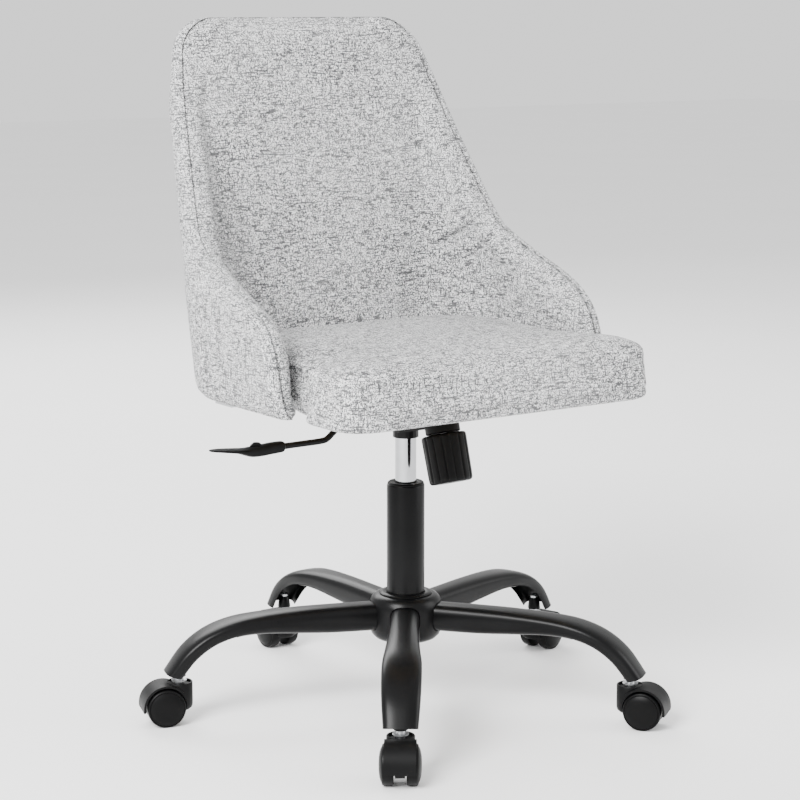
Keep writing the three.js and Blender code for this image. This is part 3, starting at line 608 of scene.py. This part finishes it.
def make_hood():
    """The fender over both wheels, the web between them and the boss round the stem, which is on the Z axis."""
    cover_half = 19.5 * MM
    fender = arc(30 * MM, -8, 140, 40) + arc(27.3 * MM, 140, -8, 40)
    hood = prism("hood_master", fender, -cover_half, cover_half, PLASTIC, UPRIGHT)
    hood.data.transform(Matrix.Translation((TRAIL, 0, WHEEL_RADIUS)))
    web = turned("web", [(0, -6 * MM), (23.5 * MM, -6 * MM), (23.5 * MM, 6 * MM), (0, 6 * MM)], None, 64)
    web.data.transform(Matrix.Translation((TRAIL, 0, WHEEL_RADIUS + 3.5 * MM)) @ UPRIGHT)
    below = prism("below", rectangle(60 * MM, 9 * MM), -0.05, WEB_LOW, None)
    cut(web, below)
    cut(hood, web, "UNION")
    top = 55 * MM
    boss = turned("boss", [
        (0, 19 * MM), (13.5 * MM, 19 * MM), (16.4 * MM, 21.5 * MM), (17.4 * MM, 25 * MM),
        (17.5 * MM, 30 * MM),
        (17.5 * MM, top - 1 * MM), (16.9 * MM, top), (15.4 * MM, top), (15 * MM, top - 0.8 * MM),
        (15 * MM, top - 3 * MM), (0, top - 3 * MM),
    ], None, 64)
    room_radius, room_half = 26.6 * MM, 40 * MM
    room = turned("wheel_room", [
        (0, -room_half), (room_radius, -room_half), (room_radius, room_half), (0, room_half),
    ], None, 80)
    room.data.transform(Matrix.Translation((TRAIL, 0, WHEEL_RADIUS)) @ UPRIGHT)
    web_part = copy_of(boss, "boss_web", Matrix.Identity(4))
    slab = prism("slab", rectangle(40 * MM, 6 * MM), 0, 0.1, None)
    cut(web_part, slab, "INTERSECT")
    cut(boss, room)
    cut(hood, boss, "UNION")
    cut(hood, web_part, "UNION")
    stem_low, stem_high, bore = 24.5 * MM, 0.08, 5.9 * MM
    stem_room = turned(
        "stem_room", [(0, stem_low), (bore, stem_low), (bore, stem_high), (0, stem_high)], None, 32,
    )
    cut(hood, stem_room)
    hood.data.materials.clear()
    hood.data.materials.append(PLASTIC)
    return crisp(bevel(hood, 0.7 * MM, 2, 38), 40)


def make_casters():
    wheel = make_wheel()
    hood = make_hood()
    stem = turned("stem_master", [
        (0, 25.4 * MM), (5.5 * MM, 25.4 * MM), (5.5 * MM, 55.6 * MM), (9.6 * MM, 55.6 * MM),
        (10 * MM, 56 * MM), (10 * MM, 57.3 * MM), (9.6 * MM, 57.6 * MM), (5.5 * MM, 57.6 * MM),
        (5.5 * MM, 81 * MM), (4 * MM, 83 * MM),
        (0, 83 * MM),
    ], ZINC, 40)
    crisp(stem)
    axle = turned("axle_master", [
        (0, -21 * MM), (3.5 * MM, -21 * MM), (4 * MM, -20.5 * MM), (4 * MM, 20.5 * MM), (3.5 * MM, 21 * MM),
        (0, 21 * MM),
    ], ZINC, 24)
    crisp(axle)
    axle.data.transform(UPRIGHT)
    for i in LEGS:
        caster = leg_turn(i) @ Matrix.Translation((STEM_CIRCLE, 0, 0))
        hub = caster @ Matrix.Translation((TRAIL, 0, WHEEL_RADIUS))
        fork = copy_of(hood, f"caster_fork_{i}", caster)
        stand_for(fork, f"caster_{i}", "black_plastic", f"caster_hood_{i}")
        stand_for(copy_of(stem, f"caster_pin_{i}", caster), "base", "bright_steel", f"caster_stem_{i}")
        stand_for(copy_of(axle, f"caster_shaft_{i}", hub), f"caster_{i}", "bright_steel", f"caster_axle_{i}")
        for side, sign in (("left", 1), ("right", -1)):
            placed = hub @ Matrix.Rotation(sign * math.pi / 2, 4, "Z")
            name = f"wheel_{side}_{i}"
            stand_for(copy_of(wheel, "twin_" + name, placed), name, "wheel_plastic", f"caster_{name}")
    for master in (wheel, hood, stem, axle, *[bpy.data.objects[n] for n in ("leg_master", "sleeve")]):
        bpy.data.objects.remove(master)


# ---------------------------------------------------------------- mechanism
KNOB_TILT = math.radians(17)
KNOB_FRAME = Matrix.Translation((0, -0.0786, 0.3957)) @ Matrix.Rotation(-KNOB_TILT, 4, "X")


def make_knob():
    """The ribbed tension knob and the plain collar above it. Local -Z runs down the knob's axis."""
    ribs, start, end, radius = 15, 19.5, 82, 29
    stations = [  # distance down the axis, radius lost, share of the full rib depth (mm)
        (start, 6, 0), (start, 3.0, 0.0), (start + 0.8, 1.2, 0.1), (start + 2.2, 0.3, 0.3),
        (start + 4, 0, 0.6), (start + 7, 0, 1), (end - 9, 0.6, 1), (end - 5, 0.9, 0.8),
        (end - 2.6, 1.3, 0.5), (end - 0.9, 2.4, 0.2),
        (end, 4.2, 0), (end, 8, 0),
    ]
    sides = ribs * 12
    rings = []
    for depth, lost, share in stations:
        ring = []
        for k in range(sides):
            a = 2 * math.pi * k / sides
            # narrow rounded grooves between broad lands
            groove = math.exp(-(((k % 12) - 6) / 1.35) ** 2) * 1.7 * share
            r = (radius - lost - groove) * MM
            ring.append((r * math.cos(a), r * math.sin(a), -depth * MM))
        rings.append(ring)
    room_rings = [
        [(r * MM * math.cos(2 * math.pi * k / sides), r * MM * math.sin(2 * math.pi * k / sides), -d * MM)
         for k in range(sides)]
        for r, d in ((4.8, end), (4.8, end - 6), (24, end - 6), (24, start))
    ]
    knob = loft("tension_hand_knob", rings + room_rings + [rings[0]], PLASTIC, caps=False)
    knob.data.transform(KNOB_FRAME)
    stand_for(crisp(knob, 40), "tension_knob", "black_plastic", "tension_knob")
    collar = turned("tension_spring_collar", [
        (5.6 * MM, -18 * MM), (21.6 * MM, -18 * MM), (22.5 * MM, -17 * MM), (22.5 * MM, -1.2 * MM),
        (21.7 * MM, -0.4 * MM), (5.6 * MM, -0.4 * MM), (5.6 * MM, -18 * MM),
    ], PLASTIC, 72)
    collar.data.transform(KNOB_FRAME)
    stand_for(crisp(collar), "mechanism", "black_plastic", "tension_collar")


def make_lever():
    route = [
        (-34.5, 401), (-48, 401), (-62, 399), (-84, 394.5), (-100, 388), (-113, 379), (-122, 372),
        (-131, 369.6),
        (-160, 369.2), (-206, 369),
    ]
    rod = tube("lever_bar", [(x * MM, 0, z * MM) for x, z in route], 4 * MM, STEEL)
    stand_for(rod, "height_lever", "black_steel", "lever_rod")
    stations = [  # place along -X, middle height, half width, half height (mm)
        (-188.5, 369.2, 5.2, 5.2), (-190, 369.1, 6.4, 6.6), (-194, 369, 7.0, 7.3), (-208, 368.6, 7.4, 7.6),
        (-222, 367.6, 8.0, 7.4), (-236, 367.4, 9.2, 6.6), (-247, 368.6, 11.0, 4.6), (-258, 370.8, 12.6, 3.0),
        (-275, 373, 12.4, 2.1), (-287, 374.3, 9.6, 1.6), (-293, 374.8, 6.0, 1.2), (-295, 375, 3.4, 0.8),
    ]
    rings = []
    for x, z, half_width, half_height in smooth_line(stations, 4):
        ring = []
        for k in range(32):
            a = 2 * math.pi * k / 32
            y = math.copysign(abs(math.cos(a)) ** 0.8, math.cos(a)) * half_width
            up = math.copysign(abs(math.sin(a)) ** 0.8, math.sin(a)) * half_height
            ring.append((x * MM, y * MM, (z + up) * MM))
        rings.append(ring)
    handle = loft("lever_paddle", rings, PLASTIC)
    fin = prism("fin", [
        (-240 * MM, 370 * MM), (-236 * MM, 376 * MM), (-231 * MM, 379 * MM), (-225 * MM, 378.4 * MM),
        (-219 * MM, 374 * MM), (-219 * MM, 369 * MM),
    ], -1.6 * MM, 1.6 * MM, None, UPRIGHT)
    cut(handle, fin, "UNION")
    handle.data.materials.clear()
    handle.data.materials.append(PLASTIC)
    stand_for(crisp(handle, 50), "height_lever", "black_plastic", "lever_handle")


def finish_cad_nodes():
    """The frame's own nodes that stay in view get a softened edge and a full material."""
    slots = {row["node"]: row["material_slot"] for row in frame["record"]["subparts"]}
    for name, node in NODES.items():
        material = SLOT_MATERIAL[slots[name]]
        node.data.materials.clear()
        node.data.materials.append(material)
        crisp(node, 32)
    for name in ("mechanism_housing", "seat_plate", "back_strap_left", "back_strap_right", "release_cam"):
        bevel(NODES[name], 0.7 * MM, 2, 40)
    bevel(NODES["seat_board"], 1.5 * MM, 3, 40)


# ---------------------------------------------------------------- back
SHELL_LOW, SHELL_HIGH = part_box("back_shell")
BACK_BOTTOM = SHELL_LOW[2] / MM
BACK_TOP = SHELL_HIGH[2] / MM
BACK_HALF_WIDTH = SHELL_HIGH[0] / MM
SHELL_DEPTH = 12.0  # from the outside to the seam that runs round the rim (mm)
PAD_DEPTH = 33.0  # from that seam to the inside of the pad
REAR_AT = (508.0, 208.0)  # a height, and the rear of the back there
REAR_SLOPE = 0.2016
TAPER_START = 560.0
TAPER = 0.1966
TOP_CORNER = 45.0
CORNER_RADIUS = 128.0  # of the plan outline's rear corner at CORNER_AT
CORNER_AT = 590.0
CORNER_LOSS = 0.42  # loss of that radius per unit of height
CORNER_LIMITS = (46, 138)
RIM = [  # (y, z) up the front edge of a side: nose, scoop, kink, then the slope to the top
    (-107, 425), (-95, 463), (-82, 505), (-61, 534), (-24, 557), (43, 585), (97, 611), (124, 634),
    (162, 699), (202, 773), (240, 852), (262, 902),
]
RIM_LINE = smooth_line(RIM, 12)


def rim_front(z):
    return np.interp(z, RIM_LINE[:, 1], RIM_LINE[:, 0])


def back_half_width(z):
    straight = BACK_HALF_WIDTH - TAPER * np.maximum(0, z - TAPER_START)
    rise = np.clip(z - (BACK_TOP - TOP_CORNER), 0, TOP_CORNER)
    return straight - TOP_CORNER + np.sqrt(TOP_CORNER ** 2 - rise ** 2)


def plan_points(z, shares):
    """Points and outward directions along the right half of the plan outline at one height.
    A share of 0 is at the front edge and 1 is at the rear middle."""
    radius = float(np.clip(CORNER_RADIUS - CORNER_LOSS * (z - CORNER_AT), *CORNER_LIMITS))
    centre_x = back_half_width(z) - radius
    centre_y = REAR_AT[1] + REAR_SLOPE * (z - REAR_AT[0]) - radius
    front = rim_front(z)
    first = math.asin(float(np.clip((front - centre_y) / radius, 0, 0.9)))
    side = max(0.0, centre_y - front)
    bend = radius * (math.pi / 2 - first)
    total = side + bend + centre_x
    points, outwards = [], []
    for share in shares:
        s = share * total
        if s < side:
            points.append((centre_x + radius, front + s, z))
            outwards.append((1, 0))
        elif s < side + bend:
            a = first + (s - side) / radius
            points.append((centre_x + radius * math.cos(a), centre_y + radius * math.sin(a), z))
            outwards.append((math.cos(a), math.sin(a)))
        else:
            points.append((total - s, centre_y + radius, z))
            outwards.append((0, 1))
    return points, outwards


def back_grid():
    """The seam surface of the back as a grid: rows up, columns from right to left, finer towards the rim."""
    rows, columns = 120, 84
    upward = 1 - np.linspace(1, 0, rows) ** 1.9
    heights = BACK_BOTTOM + (BACK_TOP - BACK_BOTTOM) * upward
    shares = np.linspace(0, 1, columns) ** 2.1
    place = np.zeros((rows, 2 * columns - 1, 3))
    outward = np.zeros_like(place)
    for row, z in enumerate(heights):
        points, outwards = plan_points(z, shares)
        for i, (point, out) in enumerate(zip(points, outwards)):
            j = 2 * columns - 2 - i
            place[row, i] = point
            place[row, j] = (-point[0], point[1], point[2])
            outward[row, i] = (*out, 0)
            outward[row, j] = (-out[0], out[1], 0)
    rim = np.vstack([place[:, 0], place[:, -1], place[-1]])
    tree = kdtree.KDTree(len(rim) * 3)
    count = 0
    for a, b in zip(rim[:-1], rim[1:]):
        if np.linalg.norm(b - a) > 60:
            continue
        for t in (0, 1 / 3, 2 / 3):
            tree.insert(a + (b - a) * t, count)
            count += 1
    tree.balance()
    flat = place.reshape(-1, 3)
    to_rim = np.array([tree.find(p)[2] for p in flat]).reshape(place.shape[:2])
    to_rim[:, 0] = to_rim[:, -1] = 0
    to_rim[-1] = 0
    return place, outward, to_rim


def bullnose(distance, reach):
    """Rises from 0 at the rim to 1 at reach, as a quarter circle does."""
    t = np.clip(distance / reach, 0, 1)
    return np.sqrt(1 - (1 - t) ** 2)


def closed_panel(name, front, behind):
    """A closed skin over two grids that meet round the rim and are joined along the bottom."""
    rows, columns = front.shape[:2]
    verts = np.vstack([front.reshape(-1, 3), behind.reshape(-1, 3)]) * MM
    size = rows * columns
    faces = grid_faces(rows, columns) + grid_faces(rows, columns, start=size)
    for i in range(columns - 1):
        faces.append((i, i + 1, size + i + 1, size + i))
    return add_mesh(name, verts, faces, FABRIC)


def fold(run, z, start, end, width, depth):
    """A soft crease along a line from start to end, each (run, z) in mm, deepest in its middle."""
    a, b = np.array(start, float), np.array(end, float)
    along = b - a
    offset = np.stack([run - a[0], z - a[1]], -1)
    t = np.clip(offset @ along / (along @ along), 0, 1)
    gap = np.linalg.norm(offset - t[..., None] * along, axis=-1)
    return -depth * np.sin(np.pi * np.clip(t, 0.02, 0.98)) * np.exp(-(gap / width) ** 2)


SOFT_VOXEL = 5 * MM
SWELL_CAP = 4.5 * MM  # the skins start this much inside the space that their CAD solids hold


def inflate(source, name, pressure, held):
    """Remeshes a closed skin and swells it by cloth simulation. No point moves further than SWELL_CAP."""
    obj = bpy.data.objects.new(name, source.data.copy())
    bpy.context.collection.objects.link(obj)
    bpy.data.objects.remove(source)
    remesh = obj.modifiers.new("remesh", "REMESH")
    remesh.mode = "VOXEL"
    remesh.voxel_size = SOFT_VOXEL
    settle_modifiers(obj)
    rest = np.array([v.co for v in obj.data.vertices])
    still = held(rest / MM)
    group = obj.vertex_groups.new(name="held")
    group.add([int(i) for i in np.flatnonzero(still)], 1.0, "REPLACE")
    cloth = obj.modifiers.new("cloth", "CLOTH")
    cloth.settings.use_pressure = True
    cloth.settings.uniform_pressure_force = pressure
    cloth.settings.vertex_group_mass = "held"
    cloth.settings.effector_weights.gravity = 0
    for number in range(1, 21):
        bpy.context.scene.frame_set(number)
    settle_modifiers(obj)
    bpy.context.scene.frame_set(1)
    moved = np.array([v.co for v in obj.data.vertices]) - rest
    length = np.linalg.norm(moved, axis=1)
    scale = np.minimum(1.0, SWELL_CAP / np.maximum(length, 1e-9))
    obj.data.vertices.foreach_set("co", (rest + moved * scale[:, None]).ravel())
    obj.vertex_groups.clear()
    smooth = obj.modifiers.new("smooth", "SUBSURF")
    smooth.levels = smooth.render_levels = 1
    settle_modifiers(obj)
    obj.data.materials.clear()
    obj.data.materials.append(FABRIC)
    obj.data.shade_smooth()
    return obj


def press(obj, depth_at):
    """Moves each point inwards along its normal by depth_at(points, normals), in mm."""
    points = np.array([v.co for v in obj.data.vertices])
    normals = np.array([v.normal for v in obj.data.vertices])
    depth = depth_at(points / MM, normals) * MM
    obj.data.vertices.foreach_set("co", (points - normals * depth[:, None]).ravel())
    obj.data.update()


def stitches(name, line, pitch=4.6, length=3.2, radius=0.5):
    """Single stitches along a line of points (mm), each a small rounded bar."""
    line = np.array(line)
    runs = np.concatenate([[0], np.cumsum(np.linalg.norm(np.diff(line, axis=0), axis=1))])
    verts, faces = [], []
    sides = 6
    for start in np.arange(pitch, runs[-1] - pitch, pitch):
        a, b = (
            np.array([np.interp(run, runs, line[:, k]) for k in range(3)]) for run in (start, start + length)
        )
        ahead = Vector(b - a).normalized()
        side = ahead.orthogonal().normalized()
        up = ahead.cross(side)
        first = len(verts)
        for share, r in ((0, 0.3), (0.2, 1), (0.8, 1), (1, 0.3)):
            centre = Vector(a + (b - a) * share)
            verts += [(centre + radius * r * (math.cos(t) * side + math.sin(t) * up)) * MM
                      for t in (2 * math.pi * k / sides for k in range(sides))]
        faces += grid_faces(4, sides, wrap=True, start=first)
        faces += [tuple(first + k for k in range(sides)), tuple(first + 3 * sides + k for k in range(sides))]
    return add_mesh(name, verts, faces, THREAD)


def rim_stitch_line(place, to_rim, outside, margin):
    """The outer cover's points a margin inside its rim: up one side, across and down the other."""
    middle = place.shape[1] // 2
    rows = [r for r in range(place.shape[0]) if to_rim[r, middle] > margin]
    first = [int(np.argmax(to_rim[r, :middle] > margin)) for r in rows]
    one_side = [outside[r, i] for r, i in zip(rows, first)]
    other = [outside[r, place.shape[1] - 1 - i] for r, i in zip(rows, first)]
    top = [outside[rows[-1], i] for i in range(first[-1] + 1, place.shape[1] - 1 - first[-1])]
    return one_side + top + other[::-1]


def make_back():
    place, outward, to_rim = back_grid()
    z = place[..., 2]
    seam = place - outward * SHELL_DEPTH
    # the outer cover: rounded at the rim, and drawn in where it turns under the bottom edge
    turn_under = 22.0
    low = np.clip(1 - (z - BACK_BOTTOM) / turn_under, 0, 1)
    drawn_in = 9.0 * (1 - np.sqrt(1 - low ** 2))
    full = bullnose(to_rim, 11.0) * SHELL_DEPTH
    outside = seam + outward * (full - drawn_in)[..., None]
    inner_face = seam + outward * 0.15
    on_rim = to_rim[..., None] < 1e-6
    cover = closed_panel("back_cover", outside, np.where(on_rim, outside, inner_face))
    line = rim_stitch_line(place, to_rim, outside, 5.0)
    seam_thread = stitches("back_seam_stitching", line)
    # the inner pad: a fuller roll round the rim
    swell = bullnose(to_rim, 24.0) * (PAD_DEPTH - SWELL_CAP / MM)
    inside = seam - outward * swell[..., None]
    pad_back = seam - outward * 0.4
    skin = closed_panel("pad_skin", inside, np.where(on_rim, inside, pad_back))
    # the cloth is sewn down along the rim and glued to the shell behind
    flat_rim = seam[to_rim < 1e-6]
    rim_tree = tree_of(flat_rim)
    back_tree = tree_of(pad_back.reshape(-1, 3))
    pad = inflate(skin, "back_inner_pad", 4.0, lambda points: np.array([
        rim_tree.find(p)[2] < 7 or back_tree.find(p)[2] < 4 for p in points
    ]))
    press(pad, wing_creases)
    stand_for(cover, "seat", "grey_fabric", "back_shell")
    stand_for(pad, "seat", "grey_fabric", "back_pad")
    stand_for(seam_thread, "seat", "grey_fabric")


def tree_of(points):
    tree = kdtree.KDTree(len(points))
    for i, point in enumerate(points):
        tree.insert(point, i)
    tree.balance()
    return tree


def wing_creases(points, normals):
    """The pull lines in the pad where each side bends out into the arm."""
    out, up = np.abs(points[:, 0]), points[:, 2]
    depth = np.zeros(len(points))
    faces_in = np.clip(-np.sign(points[:, 0]) * normals[:, 0] * 2, 0, 1)
    for start, end, width, size in (
        ((114, 636), (180, 582), 3.2, 8.0),
        ((90, 610), (154, 558), 3.2, 4.5),
        ((46, 586), (108, 548), 4.0, 3.0),
    ):
        depth -= fold(points[:, 1], up, start, end, width, size)
    return depth * faces_in * (out > 120)


# ---------------------------------------------------------------- seat
CUSHION_LOW, CUSHION_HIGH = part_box("seat_cushion")


STEP_START = -130.0  # where the cushion begins to narrow in front of the wings (mm)
STEP_LENGTH = 22.0


def cushion_outline(count):
    """Half of the plan outline from the front middle to the rear middle (mm), evenly spaced."""
    front = CUSHION_LOW[1] / MM
    rear = CUSHION_HIGH[1] / MM
    wide = CUSHION_HIGH[0] / MM
    inner = 216.0
    corner, rear_corner = 44.0, 105.0
    points = [(x, front + 3 * (x / wide) ** 2) for x in np.linspace(0, wide - corner, 30)]
    centre = (wide - corner, front + 3 + corner)
    points += [(centre[0] + corner * math.cos(a), centre[1] + corner * math.sin(a))
               for a in np.linspace(-math.pi / 2, 0, 24)]
    for y in np.linspace(centre[1] + 4, -84, 30):
        t = np.clip((y - STEP_START) / STEP_LENGTH, 0, 1)
        points.append((wide - (wide - inner) * t * t * (3 - 2 * t), y))
    centre = (inner - rear_corner, rear - rear_corner)
    points += [(centre[0] + rear_corner * math.cos(a), centre[1] + rear_corner * math.sin(a))
               for a in np.linspace(0, math.pi / 2, 40)]
    points += [(x, rear) for x in np.linspace(centre[0] - 4, 0, 20)]
    line = np.array(points)
    length = np.concatenate([[0], np.cumsum(np.linalg.norm(np.diff(line, axis=0), axis=1))])
    even = np.linspace(0, length[-1], count)
    return np.stack([np.interp(even, length, line[:, k]) for k in (0, 1)], -1)


def make_seat():
    half = cushion_outline(110)
    outline = np.vstack([half, (half * (-1, 1))[-2:0:-1]])
    low, high = CUSHION_LOW[2] / MM, CUSHION_HIGH[2] / MM
    # the cover is drawn down round the front edge of the board, and is clear of the straps behind
    board_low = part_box("seat_board")[0][2] / MM
    skirt = np.interp(outline[:, 1], (-100, -20), (board_low + 0.6, low))
    middle = np.array([0.0, -45.0])
    normal = np.roll(outline, -1, 0) - np.roll(outline, 1, 0)
    normal = np.stack([normal[:, 1], -normal[:, 0]], -1)
    normal /= np.linalg.norm(normal, axis=1)[:, None]
    start = SWELL_CAP / MM
    rings = []

    def ring(inset, shrink, z):
        flat = middle + (outline - normal * (inset + start) - middle) * shrink
        rings.append(np.column_stack([flat, np.full(len(flat), z) if np.isscalar(z) else z]))

    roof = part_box("seat_board")[1][2] / MM + 4
    for shrink in (0.02, 0.3, 0.6, 0.85, 1):
        ring(17, shrink, roof)
    ring(16, 1, skirt)
    ring(3, 1, skirt)
    ring(0.6, 1, skirt + 2)
    for share in np.linspace(0.05, 1, 12):
        ring(0, 1, skirt + 5 + (high - start - 22 - skirt - 5) * share)
    roll = 18.0
    for a in np.linspace(0.1, math.pi / 2, 9):
        ring(roll * (1 - math.cos(a)), 1, high - start - 22 + 14 * math.sin(a))
    for shrink in np.linspace(0.975, 0.0, 30)[:-1]:
        ring(roll, shrink, high - start - 8 + 8 * (1 - shrink ** 2.4))
    faces = grid_faces(len(rings), len(outline), wrap=True)
    top = (len(rings) - 1) * len(outline)
    faces.append(tuple(range(len(outline))))
    faces.append(tuple(range(top, top + len(outline))))
    skin = add_mesh("seat_skin", np.vstack(rings) * MM, faces, FABRIC)
    seat = inflate(skin, "seat_pad", 4.0, lambda points: points[:, 2] < low + 8)
    press(seat, seat_seams)
    stand_for(seat, "seat", "grey_fabric", "seat_cushion")


SEAM_LOW = 434.0  # the seam that runs round the foot of the cushion (mm)


def seat_seams(points, normals):
    """The groove where the side panel is sewn to the lower band, and the creases at the front corners."""
    upright = np.clip(1.6 * (1 - np.abs(normals[:, 2])), 0, 1)
    seam = 1.6 * np.exp(-((points[:, 2] - SEAM_LOW) / 2.6) ** 2) * upright
    out = np.abs(points[:, 0])
    crease = np.zeros(len(points))
    for start, end, width, size in (((150, 446), (226, 470), 5.0, 1.6), ((176, 486), (232, 462), 5.0, 1.2)):
        crease -= fold(out, points[:, 2], start, end, width, size)
    return seam + crease * np.clip(-normals[:, 1], 0, 1)


# ---------------------------------------------------------------- stage
CAMERA_AZIMUTH = math.radians(-34.75)
CAMERA_ELEVATION = math.radians(10.0)
CAMERA_DISTANCE = 2.9385
CAMERA_AIM_RIGHT = -0.0075
CAMERA_AIM_UP = 0.4095
FOCAL_IN_WIDTHS = 2.8076
SENSOR = 36.0


def make_stage():
    right = Vector((math.cos(CAMERA_AZIMUTH), math.sin(CAMERA_AZIMUTH), 0))
    level = Vector((math.sin(CAMERA_AZIMUTH), -math.cos(CAMERA_AZIMUTH), 0))
    back = level * math.cos(CAMERA_ELEVATION) + Vector((0, 0, math.sin(CAMERA_ELEVATION)))
    aim = right * CAMERA_AIM_RIGHT + Vector((0, 0, CAMERA_AIM_UP))
    lens = bpy.data.cameras.new("camera")
    lens.lens = FOCAL_IN_WIDTHS * SENSOR
    lens.sensor_width = SENSOR
    camera = bpy.data.objects.new("camera", lens)
    camera.location = aim + back * CAMERA_DISTANCE
    camera.rotation_euler = back.to_track_quat("Z", "Y").to_euler()
    bpy.context.collection.objects.link(camera)
    bpy.context.scene.camera = camera
    floor_shader = Shader("floor_paint", Roughness=0.9)
    place = floor_shader.node("TexCoord").outputs["Object"]
    tone = floor_shader.between(floor_shader.noise(place, 1.5, 3.0), 0.3, 0.7)
    floor_shader.join(floor_shader.blend(tone, (0.93, 0.93, 0.93), (0.95, 0.95, 0.95)), "Base Color")
    size = 14.0
    floor = add_mesh(
        "floor", [(-size, -size, 0), (size, -size, 0), (size, size, 0), (-size, size, 0)], [(0, 1, 2, 3)],
        floor_shader.material,
    )
    world = bpy.context.scene.world or bpy.data.worlds.new("world")
    bpy.context.scene.world = world
    world.use_nodes = True
    world.node_tree.nodes["Background"].inputs["Color"].default_value = (1, 1, 1, 1)
    world.node_tree.nodes["Background"].inputs["Strength"].default_value = 1.25
    softbox("key", (-3.2, -1.3, 2.9), 2.0, 400)
    softbox("fill", (3.0, -2.0, 1.8), 2.2, 75)
    softbox("rear", (0.6, 3.0, 2.6), 2.4, 130)


def softbox(name, place, size, power):
    data = bpy.data.lights.new(name, "AREA")
    data.shape = "SQUARE"
    data.size = size
    data.energy = power
    lamp = bpy.data.objects.new(name, data)
    lamp.location = place
    lamp.rotation_euler = (Vector(place) - Vector((0, 0, 0.5))).to_track_quat("Z", "Y").to_euler()
    bpy.context.collection.objects.link(lamp)


finish_cad_nodes()
make_base()
make_column()
make_casters()
make_knob()
make_lever()
make_back()
make_seat()
make_stage()
